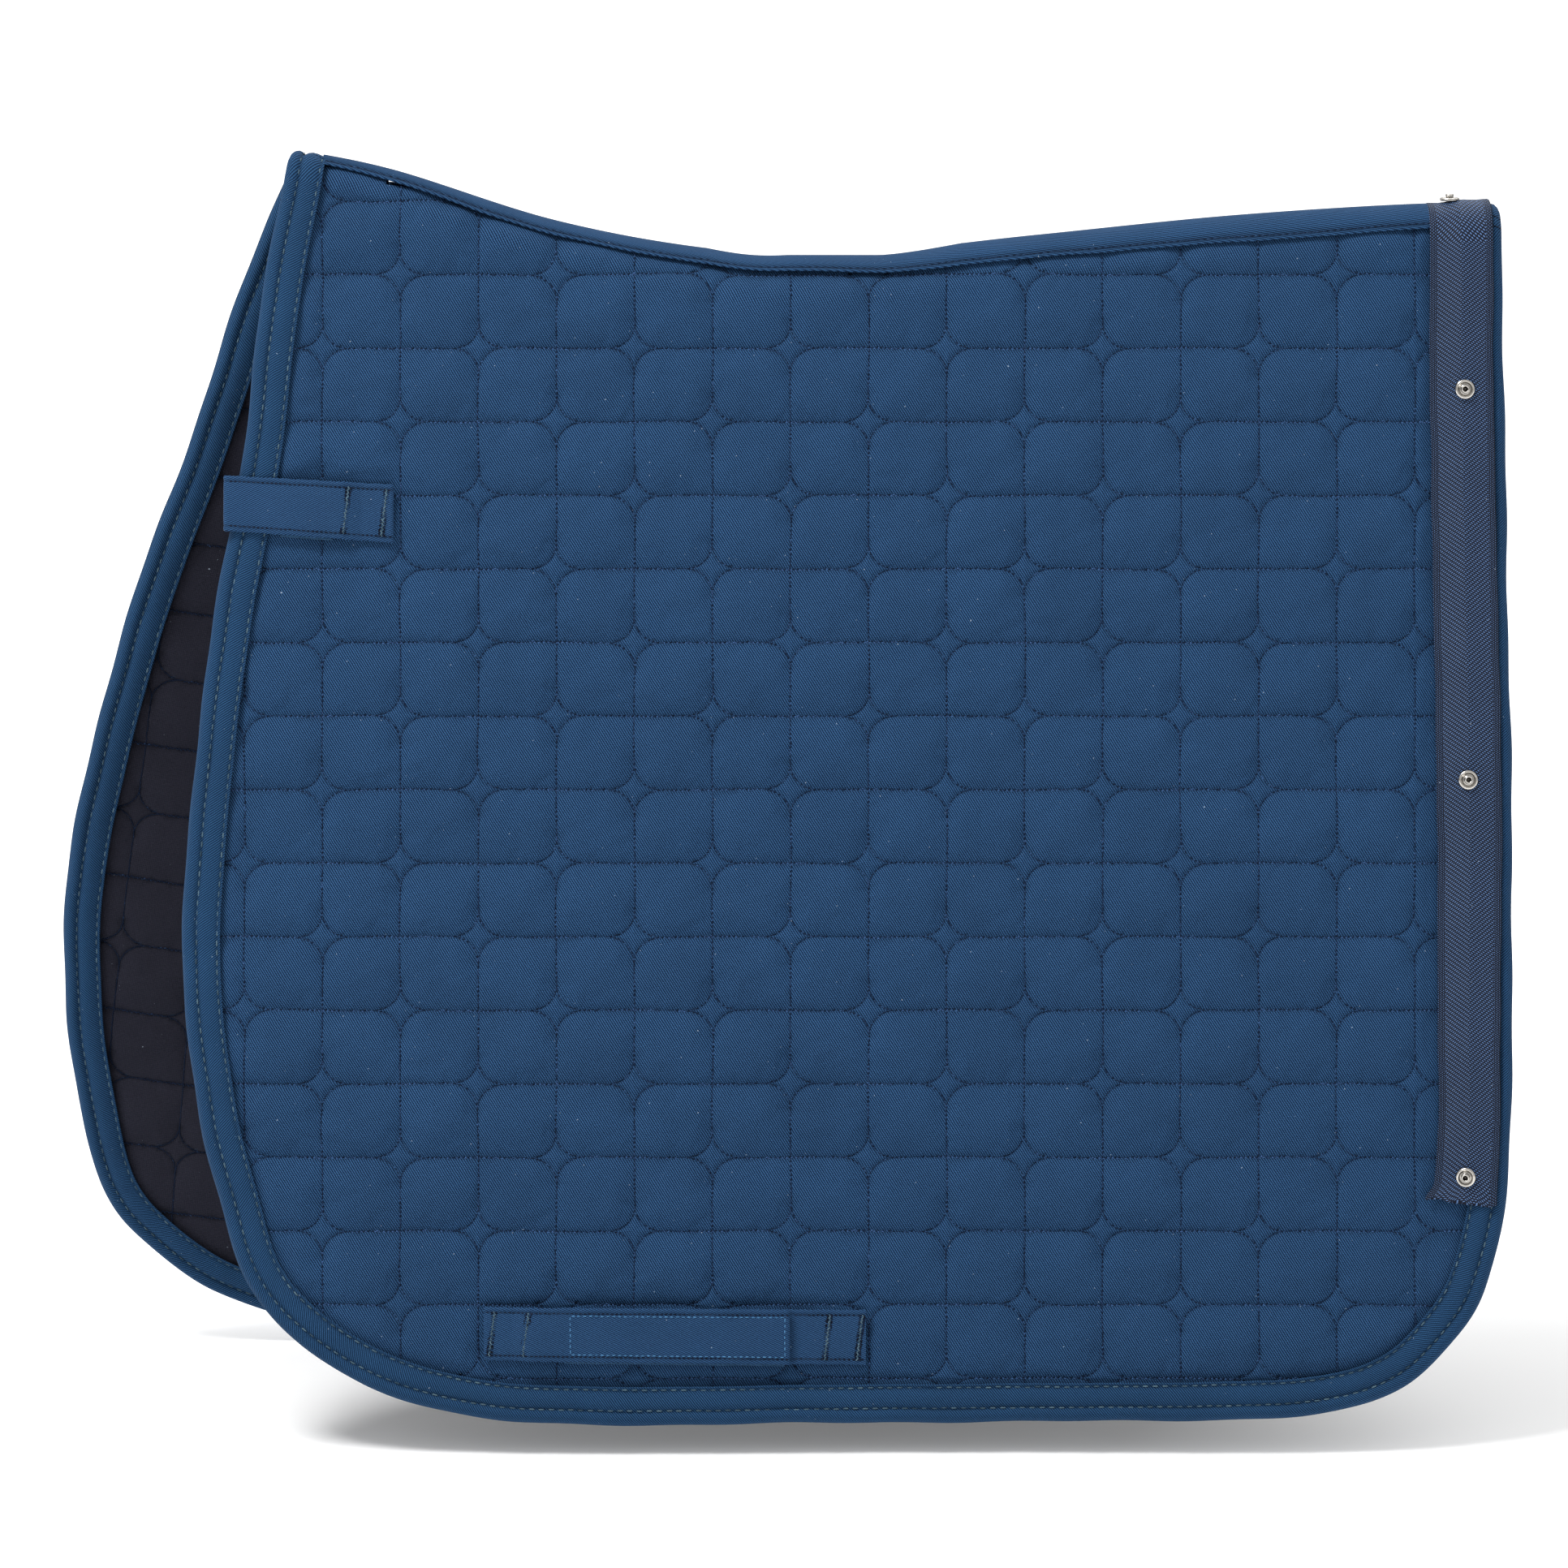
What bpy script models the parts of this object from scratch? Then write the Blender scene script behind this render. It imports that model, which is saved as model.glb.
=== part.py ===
"""Contoured, quilted saddle pad hanging folded over its spine, with two flaps that open outwards.

Metres, +Z up. X runs along the spine, towards the tail. The left flap is on the -Y side.
The origin is the spine's resting face, under the lowest point of the spine.

Shapes are drawn in flap coordinates and then placed in space. A point there has
    along   its distance along the spine, which is X
    drop    its distance down the flap, measured along the cloth
    out     its distance outwards from the lining's horse-side face
"""

import math

import bmesh
import bpy
import numpy as np
from mathutils import Matrix, Vector
from mathutils.geometry import tessellate_polygon

LEFT, RIGHT = -1, 1
SIDES = {"left": LEFT, "right": RIGHT}

# How the pad hangs: each flap leans out by SPLAY, and their inner faces stand HALF_GAP from the middle.
SPLAY = math.radians(9.5)
HALF_GAP = 0.0124
SIN, COS = math.sin(SPLAY), math.cos(SPLAY)

# Layers through a flap, as (inner face, outer face).
LINING = (0.0, 0.0008)
BATTING = (0.0011, 0.0071)
COVER = (0.0074, 0.0082)
MIDDLE = 0.0041
CLEARANCE = 0.0003

# Edge binding: a folded channel around the edge, with a cord in its nose.
BINDING_FACES = (-0.0013, 0.0095)
BINDING_CLOTH = 0.0010
BINDING_WIDTH = 0.0183
CORD_RADIUS = 0.0030
NOSE_STEPS = 6
HOLLOW_STEPS = 4
CORD_SEGMENTS = 6
LAYER_SETBACK = 0.0105

# Tapes on the spine.
BAND = (0.0087, 0.0097)
BAND_HALF_WIDTH = 0.0155
INNER_TAPE = (-0.0015, -0.0003)
INNER_TAPE_HALF_WIDTH = 0.0100
BAND_STEPS = 4
INNER_TAPE_STEPS = 2
TAPE_SETBACK = BINDING_WIDTH + CLEARANCE

# Trim webbing, sewn on top of the binding down the rear edge of both flaps.
WEBBING = (0.0100, 0.0111)
WEBBING_ON_SPINE = (0.2785, 0.3082)
WEBBING_FRONT_EDGE = ((0.2785, 0.060), (0.2820, 0.244), (0.2831, 0.396), (0.2797, 0.4324))
WEBBING_REAR_EDGE = ((0.3078, 0.4359), (0.3112, 0.396), (0.3124, 0.244), (0.3082, 0.060))

# Snap studs: the spots on each flap, and the one on the spine.
SNAP_SPOTS = {"upper": (0.2949, 0.0540), "middle": (0.2964, 0.2367), "lower": (0.2953, 0.4226)}
SPINE_SNAP_ALONG = 0.2896
SNAP_SEAT = WEBBING[1] + CLEARANCE
SNAP_CAP_SEAT = BINDING_FACES[0] - CLEARANCE
SNAP_PROFILE = (
    (0.0, 0.0),
    (0.0047, 0.0),
    (0.0047, 0.0011),
    (0.0040, 0.0013),
    (0.0030, 0.0007),
    (0.0021, 0.0008),
    (0.0020, 0.0026),
    (0.0016, 0.0031),
    (0.0010, 0.0031),
    (0.0008, 0.0016),
    (0.0, 0.0016),
)
CAP_PROFILE = ((0.0, 0.0), (0.0047, 0.0), (0.0044, 0.0007), (0.0030, 0.0011), (0.0, 0.0011))
STUD_SEGMENTS = 14

# Top silhouette of the spine, as (along, drop), from the withers peak to the rear.
CREST = (
    (-0.262, -0.0612),
    (-0.208, -0.0505),
    (-0.133, -0.0274),
    (-0.063, -0.0144),
    (0.0, -0.0108),
    (0.094, -0.0201),
    (0.187, -0.0293),
    (0.2725, -0.0346),
    (0.320, -0.0346),
)
REST_HALF_LENGTH = 0.022
REST_BLEND = 0.060

# Outer edge of a flap, as (along, drop), from the withers peak down, along the bottom and up the rear.
FLAP_EDGE = (
    (-0.256, -0.058),
    (-0.268, 0.008),
    (-0.278, 0.087),
    (-0.292, 0.167),
    (-0.301, 0.239),
    (-0.306, 0.322),
    (-0.2995, 0.385),
    (-0.288, 0.434),
    (-0.275, 0.474),
    (-0.252, 0.500),
    (-0.216, 0.522),
    (-0.166, 0.536),
    (-0.100, 0.539),
    (0.030, 0.538),
    (0.160, 0.537),
    (0.228, 0.534),
    (0.264, 0.523),
    (0.289, 0.501),
    (0.306, 0.472),
    (0.316, 0.425),
    (0.3178, 0.330),
    (0.3175, 0.244),
    (0.3146, 0.084),
    (0.3131, -0.014),
    (0.3125, -0.060),
)

# The right flap hangs skewed: it swings towards the head as it drops, and its front rows sag.
SWING = 0.2366
SWING_EASE = 0.1289
SAG_SLOPE = 0.135
SAG_LENGTH = 0.12
SAG_FADE = 0.15
PEAK_ALONG = -0.250

# The flap hinges. The line where the rigid flap meets the spine stays this far above the hinge at most.
HINGE_DROP = -0.010
HINGE_OUT = 0.0112
RISE_OVER_HINGE = 0.008
SPLIT_GAP = 0.0034
SPLIT_INSET = 0.012
SPLIT_STATIONS = 16

# A slightly raised rectangle on each face of a flap, clear of the trims, where the saddle and the horse rest.
SEAT_ALONG = (-0.14, 0.20)
SEAT_DROP = (0.05, 0.40)
SEAT_RISE = 0.0003
SADDLE_SEAT_OUT = COVER[1] + SEAT_RISE
HORSE_SEAT_OUT = LINING[0] - SEAT_RISE

# Girth keeper, as distances along the spine, with the drops of its two long edges at each end.
GIRTH_ENDS = (-0.1642, 0.0148)
GIRTH_TOP_EDGE = (0.4834, 0.4849)
GIRTH_BOTTOM_EDGE = (0.5084, 0.5107)
GIRTH_TAB_END = -0.1417
GIRTH_RAMP = (-0.1517, -0.1447)
GIRTH_LONG_END = -0.0205
GIRTH_SHORT_START = -0.1277
GIRTH_PATCH = (-0.1246, -0.0232)
GIRTH_PATCH_INSET = 0.0035
GIRTH_PATCH_THICKNESS = 0.0006
GIRTH_SHORT_THICKNESS = 0.0010

# Billet strap, the same way. Its free end wraps round the flap's front edge.
BILLET_ENDS = (-0.2858, -0.2063)
BILLET_TOP_EDGE = (0.0942, 0.0984)
BILLET_BOTTOM_EDGE = (0.1201, 0.1258)
BILLET_TAB_START = -0.2314
BILLET_RAMP = (-0.2284, -0.2224)
BILLET_PATCH = (-0.2595, -0.2350)
BILLET_PATCH_INSET = 0.0035
BILLET_PATCH_THICKNESS = 0.0008
BILLET_TIP_DEPTH = -0.0010
STRAP = 0.0012
JOINT_GAP = 0.0004

ON_COVER = COVER[1] + CLEARANCE
LEG_STEPS = 2
ARC_STEPS = 7
SHORTEST_LEG = 0.002
SPINE_STATIONS = (-0.215, -0.19, -0.16, -0.13, -0.10, -0.06, -0.02, 0.02, 0.06, 0.10, 0.14, 0.18, 0.22, 0.26)
SAMPLES_PER_SPAN = 40
STATIONS_PER_SPAN = 2
SHARP_ANGLE = math.radians(40)
EMPTY_SIZE = 0.02

COLOURS = {
    "quilted_twill": ((0.024, 0.063, 0.138), 0.85, 0.0),
    "lining_cotton": ((0.017, 0.018, 0.026), 0.92, 0.0),
    "wadding": ((0.80, 0.79, 0.76), 0.95, 0.0),
    "binding_twill": ((0.022, 0.056, 0.120), 0.80, 0.0),
    "trim_webbing": ((0.040, 0.065, 0.120), 0.75, 0.0),
    "strap_twill": ((0.030, 0.078, 0.165), 0.80, 0.0),
    "hook_and_loop": ((0.050, 0.055, 0.070), 0.90, 0.0),
    "nickel": ((0.62, 0.60, 0.58), 0.25, 1.0),
}


def material(slot):
    """The Principled material of one slot, made on first use."""
    found = bpy.data.materials.get(slot)
    if found:
        return found
    colour, roughness, metallic = COLOURS[slot]
    made = bpy.data.materials.new(slot)
    made.use_nodes = True
    shader = made.node_tree.nodes["Principled BSDF"]
    shader.inputs["Base Color"].default_value = (*colour, 1.0)
    shader.inputs["Roughness"].default_value = roughness
    shader.inputs["Metallic"].default_value = metallic
    made.diffuse_color = (*colour, 1.0)
    return made


# Curves -------------------------------------------------------------------------------------------


def spline(points, per_span):
    """Points along a Catmull-Rom curve through the given ones, as an array."""
    knots = np.array(points, float)
    ends = np.vstack([2 * knots[0] - knots[1], knots, 2 * knots[-1] - knots[-2]])
    made = []
    for i in range(len(knots) - 1):
        p0, p1, p2, p3 = ends[i : i + 4]
        for t in np.arange(per_span) / per_span:
            made.append(
                0.5 * (2 * p1 + (p2 - p0) * t + (2 * p0 - 5 * p1 + 4 * p2 - p3) * t**2
                       + (3 * p1 - p0 - 3 * p2 + p3) * t**3)
            )
    made.append(knots[-1])
    return np.array(made)


CREST_CURVE = spline(CREST, SAMPLES_PER_SPAN)
EDGE_CURVE = spline(FLAP_EDGE, SAMPLES_PER_SPAN)


def crest_drop(along):
    """Drop of the top silhouette, which is level where the spine rests."""
    eased = np.interp(abs(along), (0.0, REST_HALF_LENGTH, REST_BLEND, 1.0), (0.0, 0.0, REST_BLEND, 1.0))
    return float(np.interp(math.copysign(eased, along), CREST_CURVE[:, 0], CREST_CURVE[:, 1]))


def edge_along(drop, rear):
    """Where the flap's front or rear edge is at a drop above the bottom corners."""
    half = len(EDGE_CURVE) // 2
    run = EDGE_CURVE[half:][::-1] if rear else EDGE_CURVE[:half]
    return float(np.interp(drop, run[:, 1], run[:, 0]))


# The fold over the spine --------------------------------------------------------------------------


def fold(along):
    """(height of the fold's centre, its inner radius, drop where the flap turns flat, drop of its top)."""
    reach = -crest_drop(along)
    height = (reach - HALF_GAP * (SIN + COS) - BAND[1]) / (COS - SIN)
    radius = HALF_GAP * COS - height * SIN
    flat_from = -(HALF_GAP * SIN + height * COS)
    top = flat_from - (math.pi / 2 - SPLAY) * (radius + MIDDLE)
    return height, radius, flat_from, top


def skewed(along, drop):
    """The right flap's place for a point of the unskewed flap."""
    below = max(0.0, drop - fold(along)[2])
    fade = min(below / SAG_FADE, 1.0)
    sag = fade * fade * (3 - 2 * fade) * SAG_SLOPE * SAG_LENGTH
    sag *= 1 - math.exp(-(along - PEAK_ALONG) / SAG_LENGTH)
    return along - SWING * below + SWING_EASE * below**2, drop + sag


def resting_height():
    """How far the whole pad is raised, so that the inner tape's level face is at Z = 0."""
    height, radius, _, _ = fold(0.0)
    half_step = INNER_TAPE_HALF_WIDTH / (2 * INNER_TAPE_STEPS + 1) / (radius + MIDDLE)
    return -(height + (radius + INNER_TAPE[0]) * math.cos(half_step))


RAISED = resting_height()


def place(side, along, drop, out):
    """The point in space of a point in flap coordinates, on the fold or on the flat of a flap."""
    if side == RIGHT:
        along, drop = skewed(along, drop)
    height, radius, flat_from, _ = fold(along)
    if drop > flat_from:
        return place_flat(side, along, drop, out)
    angle = SPLAY + (flat_from - drop) / (radius + MIDDLE)
    y = (radius + out) * math.cos(angle)
    z = height + (radius + out) * math.sin(angle)
    return Vector((along, side * y, RAISED + z))


def place_flat(side, along, drop, out):
    """The point in space of a point in the plane of a flap, which may run on past the fold."""
    y = HALF_GAP + drop * SIN + out * COS
    return Vector((along, side * y, RAISED - drop * COS + out * SIN))


def split_drop(along):
    """Drop of the line that parts the spine from the flaps."""
    return max(fold(along)[2], HINGE_DROP - RISE_OVER_HINGE)


def outward(side):
    """Outward normal of a flap."""
    return Vector((0.0, side * COS, SIN))


# Solids -------------------------------------------------------------------------------------------


def piece(name, points, faces, slot, pivot, smooth=False):
    """A named mesh object whose origin is its pivot empty's."""
    mesh = bpy.data.meshes.new(name)
    origin = pivot.matrix_world.translation
    mesh.from_pydata([p - origin for p in points], [], faces)
    shape = bmesh.new()
    shape.from_mesh(mesh)
    bmesh.ops.recalc_face_normals(shape, faces=shape.faces)
    shape.to_mesh(mesh)
    shape.free()
    mesh.materials.append(material(slot))
    if smooth:
        mesh.shade_smooth()
        mesh.set_sharp_from_angle(angle=SHARP_ANGLE)
    made = bpy.data.objects.new(name, mesh)
    bpy.context.scene.collection.objects.link(made)
    made.parent = pivot
    return made


def empty(name, spot, parent=None):
    """An empty on a joint's axis."""
    made = bpy.data.objects.new(name, None)
    made.empty_display_size = EMPTY_SIZE
    bpy.context.scene.collection.objects.link(made)
    made.parent = parent
    made.location = spot - parent.matrix_world.translation if parent else spot
    bpy.context.view_layer.update()
    return made


def loft(name, rings, slot, pivot):
    """A solid through rings of points, closed by a cap at each end."""
    size = len(rings[0])
    points = [p for ring in rings for p in ring]
    faces = [tuple(range(size)), tuple(range(len(points) - size, len(points)))]
    for i in range(len(rings) - 1):
        for j in range(size):
            k = (j + 1) % size
            faces.append((i * size + j, i * size + k, (i + 1) * size + k, (i + 1) * size + j))
    return piece(name, points, faces, slot, pivot, smooth=True)


def slab(name, side, outline, layer, slot, pivot, seat_out=None):
    """A flat layer with the given outline. A seat raises a rectangle of one face to seat_out."""
    count = len(outline)
    points = [place(side, a, d, out) for out in layer for a, d in outline]
    faces = [(i, (i + 1) % count, (i + 1) % count + count, i + count) for i in range(count)]
    whole = [tuple(range(count)), tuple(range(count, 2 * count))]
    if seat_out is None:
        return piece(name, points, faces + whole, slot, pivot)
    face = 1 if seat_out > layer[1] else 0
    (a0, a1), (d0, d1) = SEAT_ALONG, SEAT_DROP
    corners = [(a0, d0), (a1, d0), (a1, d1), (a0, d1)]
    loops = [[Vector((a, d, 0)) for a, d in loop] for loop in (outline, corners)]
    around = tessellate_polygon(loops)
    faces += [tuple(i + face * count if i < count else i + count for i in t) for t in around]
    faces.append(whole[1 - face])
    low = 2 * count
    high = low + len(corners)
    points += [place(side, a, d, out) for out in (layer[face], seat_out) for a, d in corners]
    for i in range(len(corners)):
        k = (i + 1) % len(corners)
        faces.append((low + i, low + k, high + k, high + i))
    faces.append(tuple(range(high, high + len(corners))))
    return piece(name, points, faces, slot, pivot)


def strap(name, side, profile, edges, slot, pivot, inset=0.0):
    """A strap with a profile of (along, out) points, between two sloping long edges given by edges(along)."""
    count = len(profile)
    points = []
    for which in (0, 1):
        for along, out in profile:
            shift = inset if which == 0 else -inset
            points.append(place(side, along, edges(along)[which] + shift, out))
    faces = [tuple(range(count)), tuple(range(count, 2 * count))]
    for i in range(count):
        k = (i + 1) % count
        faces.append((i, k, k + count, i + count))
    return piece(name, points, faces, slot, pivot)


def turned(name, profile, spot, axis, slot, pivot):
    """A turned solid: a profile of (radius, height) points about an axis through a spot."""
    frame = Matrix.Translation(spot) @ axis.to_track_quat("Z", "X").to_matrix().to_4x4()
    points, rows = [], []
    for radius, height in profile:
        steps = 1 if radius == 0 else STUD_SEGMENTS
        rows.append(range(len(points), len(points) + steps))
        for i in range(steps):
            angle = 2 * math.pi * i / STUD_SEGMENTS
            points.append(frame @ Vector((radius * math.cos(angle), radius * math.sin(angle), height)))
    faces = []
    for low, high in zip(rows, rows[1:]):
        for i in range(STUD_SEGMENTS):
            k = (i + 1) % STUD_SEGMENTS
            ring = (low[i % len(low)], low[k % len(low)], high[k % len(high)], high[i % len(high)])
            faces.append(tuple(dict.fromkeys(ring)))
    return piece(name, points, faces, slot, pivot, smooth=True)


# The flaps' outline -------------------------------------------------------------------------------


def edge_stations():
    """Stations round a flap's edge, each as (along, drop, inward along, inward drop)."""
    below = [i for i, (a, d) in enumerate(EDGE_CURVE) if d >= split_drop(a) + SPLIT_GAP / 2]
    first, last = below[0], below[-1]
    step = SAMPLES_PER_SPAN // STATIONS_PER_SPAN
    inner = [i for i in range(0, len(EDGE_CURVE), step) if first + step / 2 < i < last - step / 2]
    made = []
    for i in (first, *inner, last):
        before, after = EDGE_CURVE[max(i - 1, 0)], EDGE_CURVE[min(i + 1, len(EDGE_CURVE) - 1)]
        run = (after - before) / np.linalg.norm(after - before)
        made.append((*EDGE_CURVE[i], run[1], -run[0]))
    return made


def layer_outline():
    """Outline of the padded layers: set back inside the binding, and cut off along the split line."""
    rim = [(a + na * LAYER_SETBACK, d + nd * LAYER_SETBACK) for a, d, na, nd in edge_stations()]
    start, end = rim[0][0] + SPLIT_INSET, rim[-1][0] - SPLIT_INSET
    return rim + [(a, split_drop(a) + SPLIT_GAP / 2) for a in np.linspace(end, start, SPLIT_STATIONS)]


def channel_profile():
    """Section of the edge binding as (inward, out) points: its outer skin, then its inner skin."""
    low, high = BINDING_FACES
    nose = (high - low) / 2
    outer = [(BINDING_WIDTH, high)]
    for i in range(NOSE_STEPS + 1):
        angle = math.pi / 2 + math.pi * i / NOSE_STEPS
        outer.append((nose + nose * math.cos(angle), MIDDLE + nose * math.sin(angle)))
    outer.append((BINDING_WIDTH, low))
    hollow = nose - BINDING_CLOTH
    inner = [(BINDING_WIDTH, low + BINDING_CLOTH)]
    for i in range(HOLLOW_STEPS + 1):
        angle = -math.pi / 2 - math.pi * i / HOLLOW_STEPS
        inner.append((nose + hollow * math.cos(angle), MIDDLE + hollow * math.sin(angle)))
    inner.append((BINDING_WIDTH, high - BINDING_CLOTH))
    return outer + inner


def cord_profile():
    """Section of the cord in the binding's nose."""
    nose = (BINDING_FACES[1] - BINDING_FACES[0]) / 2
    turns = [2 * math.pi * i / CORD_SEGMENTS for i in range(CORD_SEGMENTS)]
    return [(nose + CORD_RADIUS * math.cos(t), MIDDLE + CORD_RADIUS * math.sin(t)) for t in turns]


def swept_round_edge(name, side, profile, slot, pivot):
    """A solid of the given section swept round a flap's edge."""
    rings = [
        [place(side, a + na * inward, d + nd * inward, out) for inward, out in profile]
        for a, d, na, nd in edge_stations()
    ]
    return loft(name, rings, slot, pivot)


# The spine ----------------------------------------------------------------------------------------


def spine_drop(along, step):
    """Drop at a step of the way up the spine's leg, from its lower end, and then round the fold to its top."""
    _, _, flat_from, top = fold(along)
    start = split_drop(along) - SPLIT_GAP / 2
    bend = min(flat_from, start - SHORTEST_LEG)
    if step <= LEG_STEPS:
        return start + (bend - start) * step / LEG_STEPS
    return bend + (top - bend) * (step - LEG_STEPS) / ARC_STEPS


def across():
    """The sides and steps met on the way over the spine, from left to right."""
    steps = range(LEG_STEPS + ARC_STEPS + 1)
    return [(LEFT, i) for i in steps] + [(RIGHT, i) for i in reversed(steps[:-1])]


def over_spine(along_at, outs):
    """A ring across the spine: its outer skin from left to right, then its inner skin back."""
    outer, inner = [], []
    for side, step in across():
        along = along_at(step)
        drop = spine_drop(along, step)
        outer.append(place(side, along, drop, outs[1]))
        inner.append(place(side, along, drop, outs[0]))
    return outer + inner[::-1]


def tape_ring(along, layer, half_width, half_steps):
    """A ring of tape centred on the spine's top, with a flat middle step."""
    top = fold(along)[3]
    steps = [half_width * (2 * i + 1) / (2 * half_steps + 1) for i in range(half_steps, -1, -1)]
    walk = [(LEFT, s) for s in steps] + [(RIGHT, s) for s in reversed(steps)]
    outer = [place(side, along, top + s, layer[1]) for side, s in walk]
    inner = [place(side, along, top + s, layer[0]) for side, s in walk]
    return outer + inner[::-1]


def spine_end(rear, inset):
    """Where the spine's front or rear end is, as a function of the step over the spine."""
    sign = -1 if rear else 1
    start = edge_along(HINGE_DROP, rear)

    def along_at(step):
        return edge_along(spine_drop(start, step), rear) + sign * inset

    return along_at


def add_spine(pivot):
    """The padded fold and the tapes over it."""
    ends = [spine_end(rear, LAYER_SETBACK) for rear in (False, True)]
    front, rear = (spine_end(rear, TAPE_SETBACK)(LEG_STEPS + ARC_STEPS) for rear in (False, True))
    stations = [front, *SPINE_STATIONS, rear]
    rings = [over_spine(ends[0], (LINING[0], COVER[1]))]
    rings += [over_spine(lambda _, a=a: a, (LINING[0], COVER[1])) for a in stations]
    rings.append(over_spine(ends[1], (LINING[0], COVER[1])))
    loft("spine_padding", rings, "quilted_twill", pivot)
    outer = [tape_ring(a, BAND, BAND_HALF_WIDTH, BAND_STEPS) for a in stations]
    loft("spine_band", outer, "binding_twill", pivot)
    inner = [tape_ring(a, INNER_TAPE, INNER_TAPE_HALF_WIDTH, INNER_TAPE_STEPS) for a in stations]
    loft("spine_inner_tape", inner, "lining_cotton", pivot)


def add_crossover(name, rear, pivot):
    """The edge binding where it passes over one end of the spine."""
    sign = -1 if rear else 1
    edge = spine_end(rear, 0.0)
    rings = []
    for side, step in across():
        ring = []
        for inward, out in channel_profile():
            along = edge(step) + sign * inward
            ring.append(place(side, along, spine_drop(along, step), out))
        rings.append(ring)
    loft(name, rings, "binding_twill", pivot)


def add_spine_webbing(pivot):
    """The trim webbing across the spine, and the snap in its middle."""
    rings = [over_spine(lambda _, a=a: a, WEBBING) for a in WEBBING_ON_SPINE]
    loft("spine_webbing", rings, "trim_webbing", pivot)
    height, radius, _, _ = fold(SPINE_SNAP_ALONG)
    up = Vector((0, 0, 1))
    seat = Vector((SPINE_SNAP_ALONG, 0, RAISED + height + radius + SNAP_SEAT))
    turned("spine_snap_stud", SNAP_PROFILE, seat, up, "nickel", pivot)
    under = radius + SNAP_CAP_SEAT - CLEARANCE
    cap_height = math.sqrt(under**2 - CAP_PROFILE[1][0] ** 2)
    cap_seat = Vector((SPINE_SNAP_ALONG, 0, RAISED + height + cap_height))
    turned("spine_snap_cap", CAP_PROFILE, cap_seat, -up, "nickel", pivot)


# Straps -------------------------------------------------------------------------------------------


def between(ends, top_edge, bottom_edge):
    """The drops of a strap's two long edges at a distance along the spine."""

    def edges(along):
        share = (along - ends[0]) / (ends[1] - ends[0])
        return [edge[0] + share * (edge[1] - edge[0]) for edge in (top_edge, bottom_edge)]

    return edges


def flat_profile(start, end, low, thickness):
    return [(start, low), (end, low), (end, low + thickness), (start, low + thickness)]


def ramp_profile(start, ramp, end, low_start, low_end, thickness):
    """A strap section that rises from low_start, over the stretch ramp, to low_end."""
    line = [(start, low_start), (ramp[0], low_start), (ramp[1], low_end), (end, low_end)]
    return line + [(a, out + thickness) for a, out in reversed(line)]


def add_girth_keeper(label, side, flap):
    """A strap that closes over the girth, with a hook-and-loop fastening between its two halves."""
    edges = between(GIRTH_ENDS, GIRTH_TOP_EDGE, GIRTH_BOTTOM_EDGE)
    short_out = ON_COVER
    loop_out = short_out + GIRTH_SHORT_THICKNESS + CLEARANCE
    hook_out = loop_out + GIRTH_PATCH_THICKNESS + CLEARANCE
    long_out = hook_out + GIRTH_PATCH_THICKNESS + CLEARANCE
    tab = ramp_profile(GIRTH_ENDS[0], GIRTH_RAMP, GIRTH_TAB_END, ON_COVER, long_out, STRAP)
    strap(f"{label}_girth_strap_tab", side, tab, edges, "strap_twill", flap)
    short = flat_profile(GIRTH_SHORT_START, GIRTH_ENDS[1], short_out, GIRTH_SHORT_THICKNESS)
    strap(f"{label}_girth_short_strap", side, short, edges, "strap_twill", flap)
    loop = flat_profile(*GIRTH_PATCH, loop_out, GIRTH_PATCH_THICKNESS)
    strap(f"{label}_girth_loop_patch", side, loop, edges, "hook_and_loop", flap, GIRTH_PATCH_INSET)
    top, bottom = edges(GIRTH_TAB_END)
    hinge_spot = place(side, GIRTH_TAB_END, (top + bottom) / 2, long_out + STRAP + CLEARANCE)
    hinge = empty(f"{label}_girth_strap_hinge", hinge_spot, flap)
    hook = flat_profile(*GIRTH_PATCH, hook_out, GIRTH_PATCH_THICKNESS)
    strap(f"{label}_girth_hook_patch", side, hook, edges, "hook_and_loop", hinge, GIRTH_PATCH_INSET)
    long = flat_profile(GIRTH_TAB_END + JOINT_GAP, GIRTH_LONG_END, long_out, STRAP)
    strap(f"{label}_girth_long_strap", side, long, edges, "strap_twill", hinge)


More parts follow.
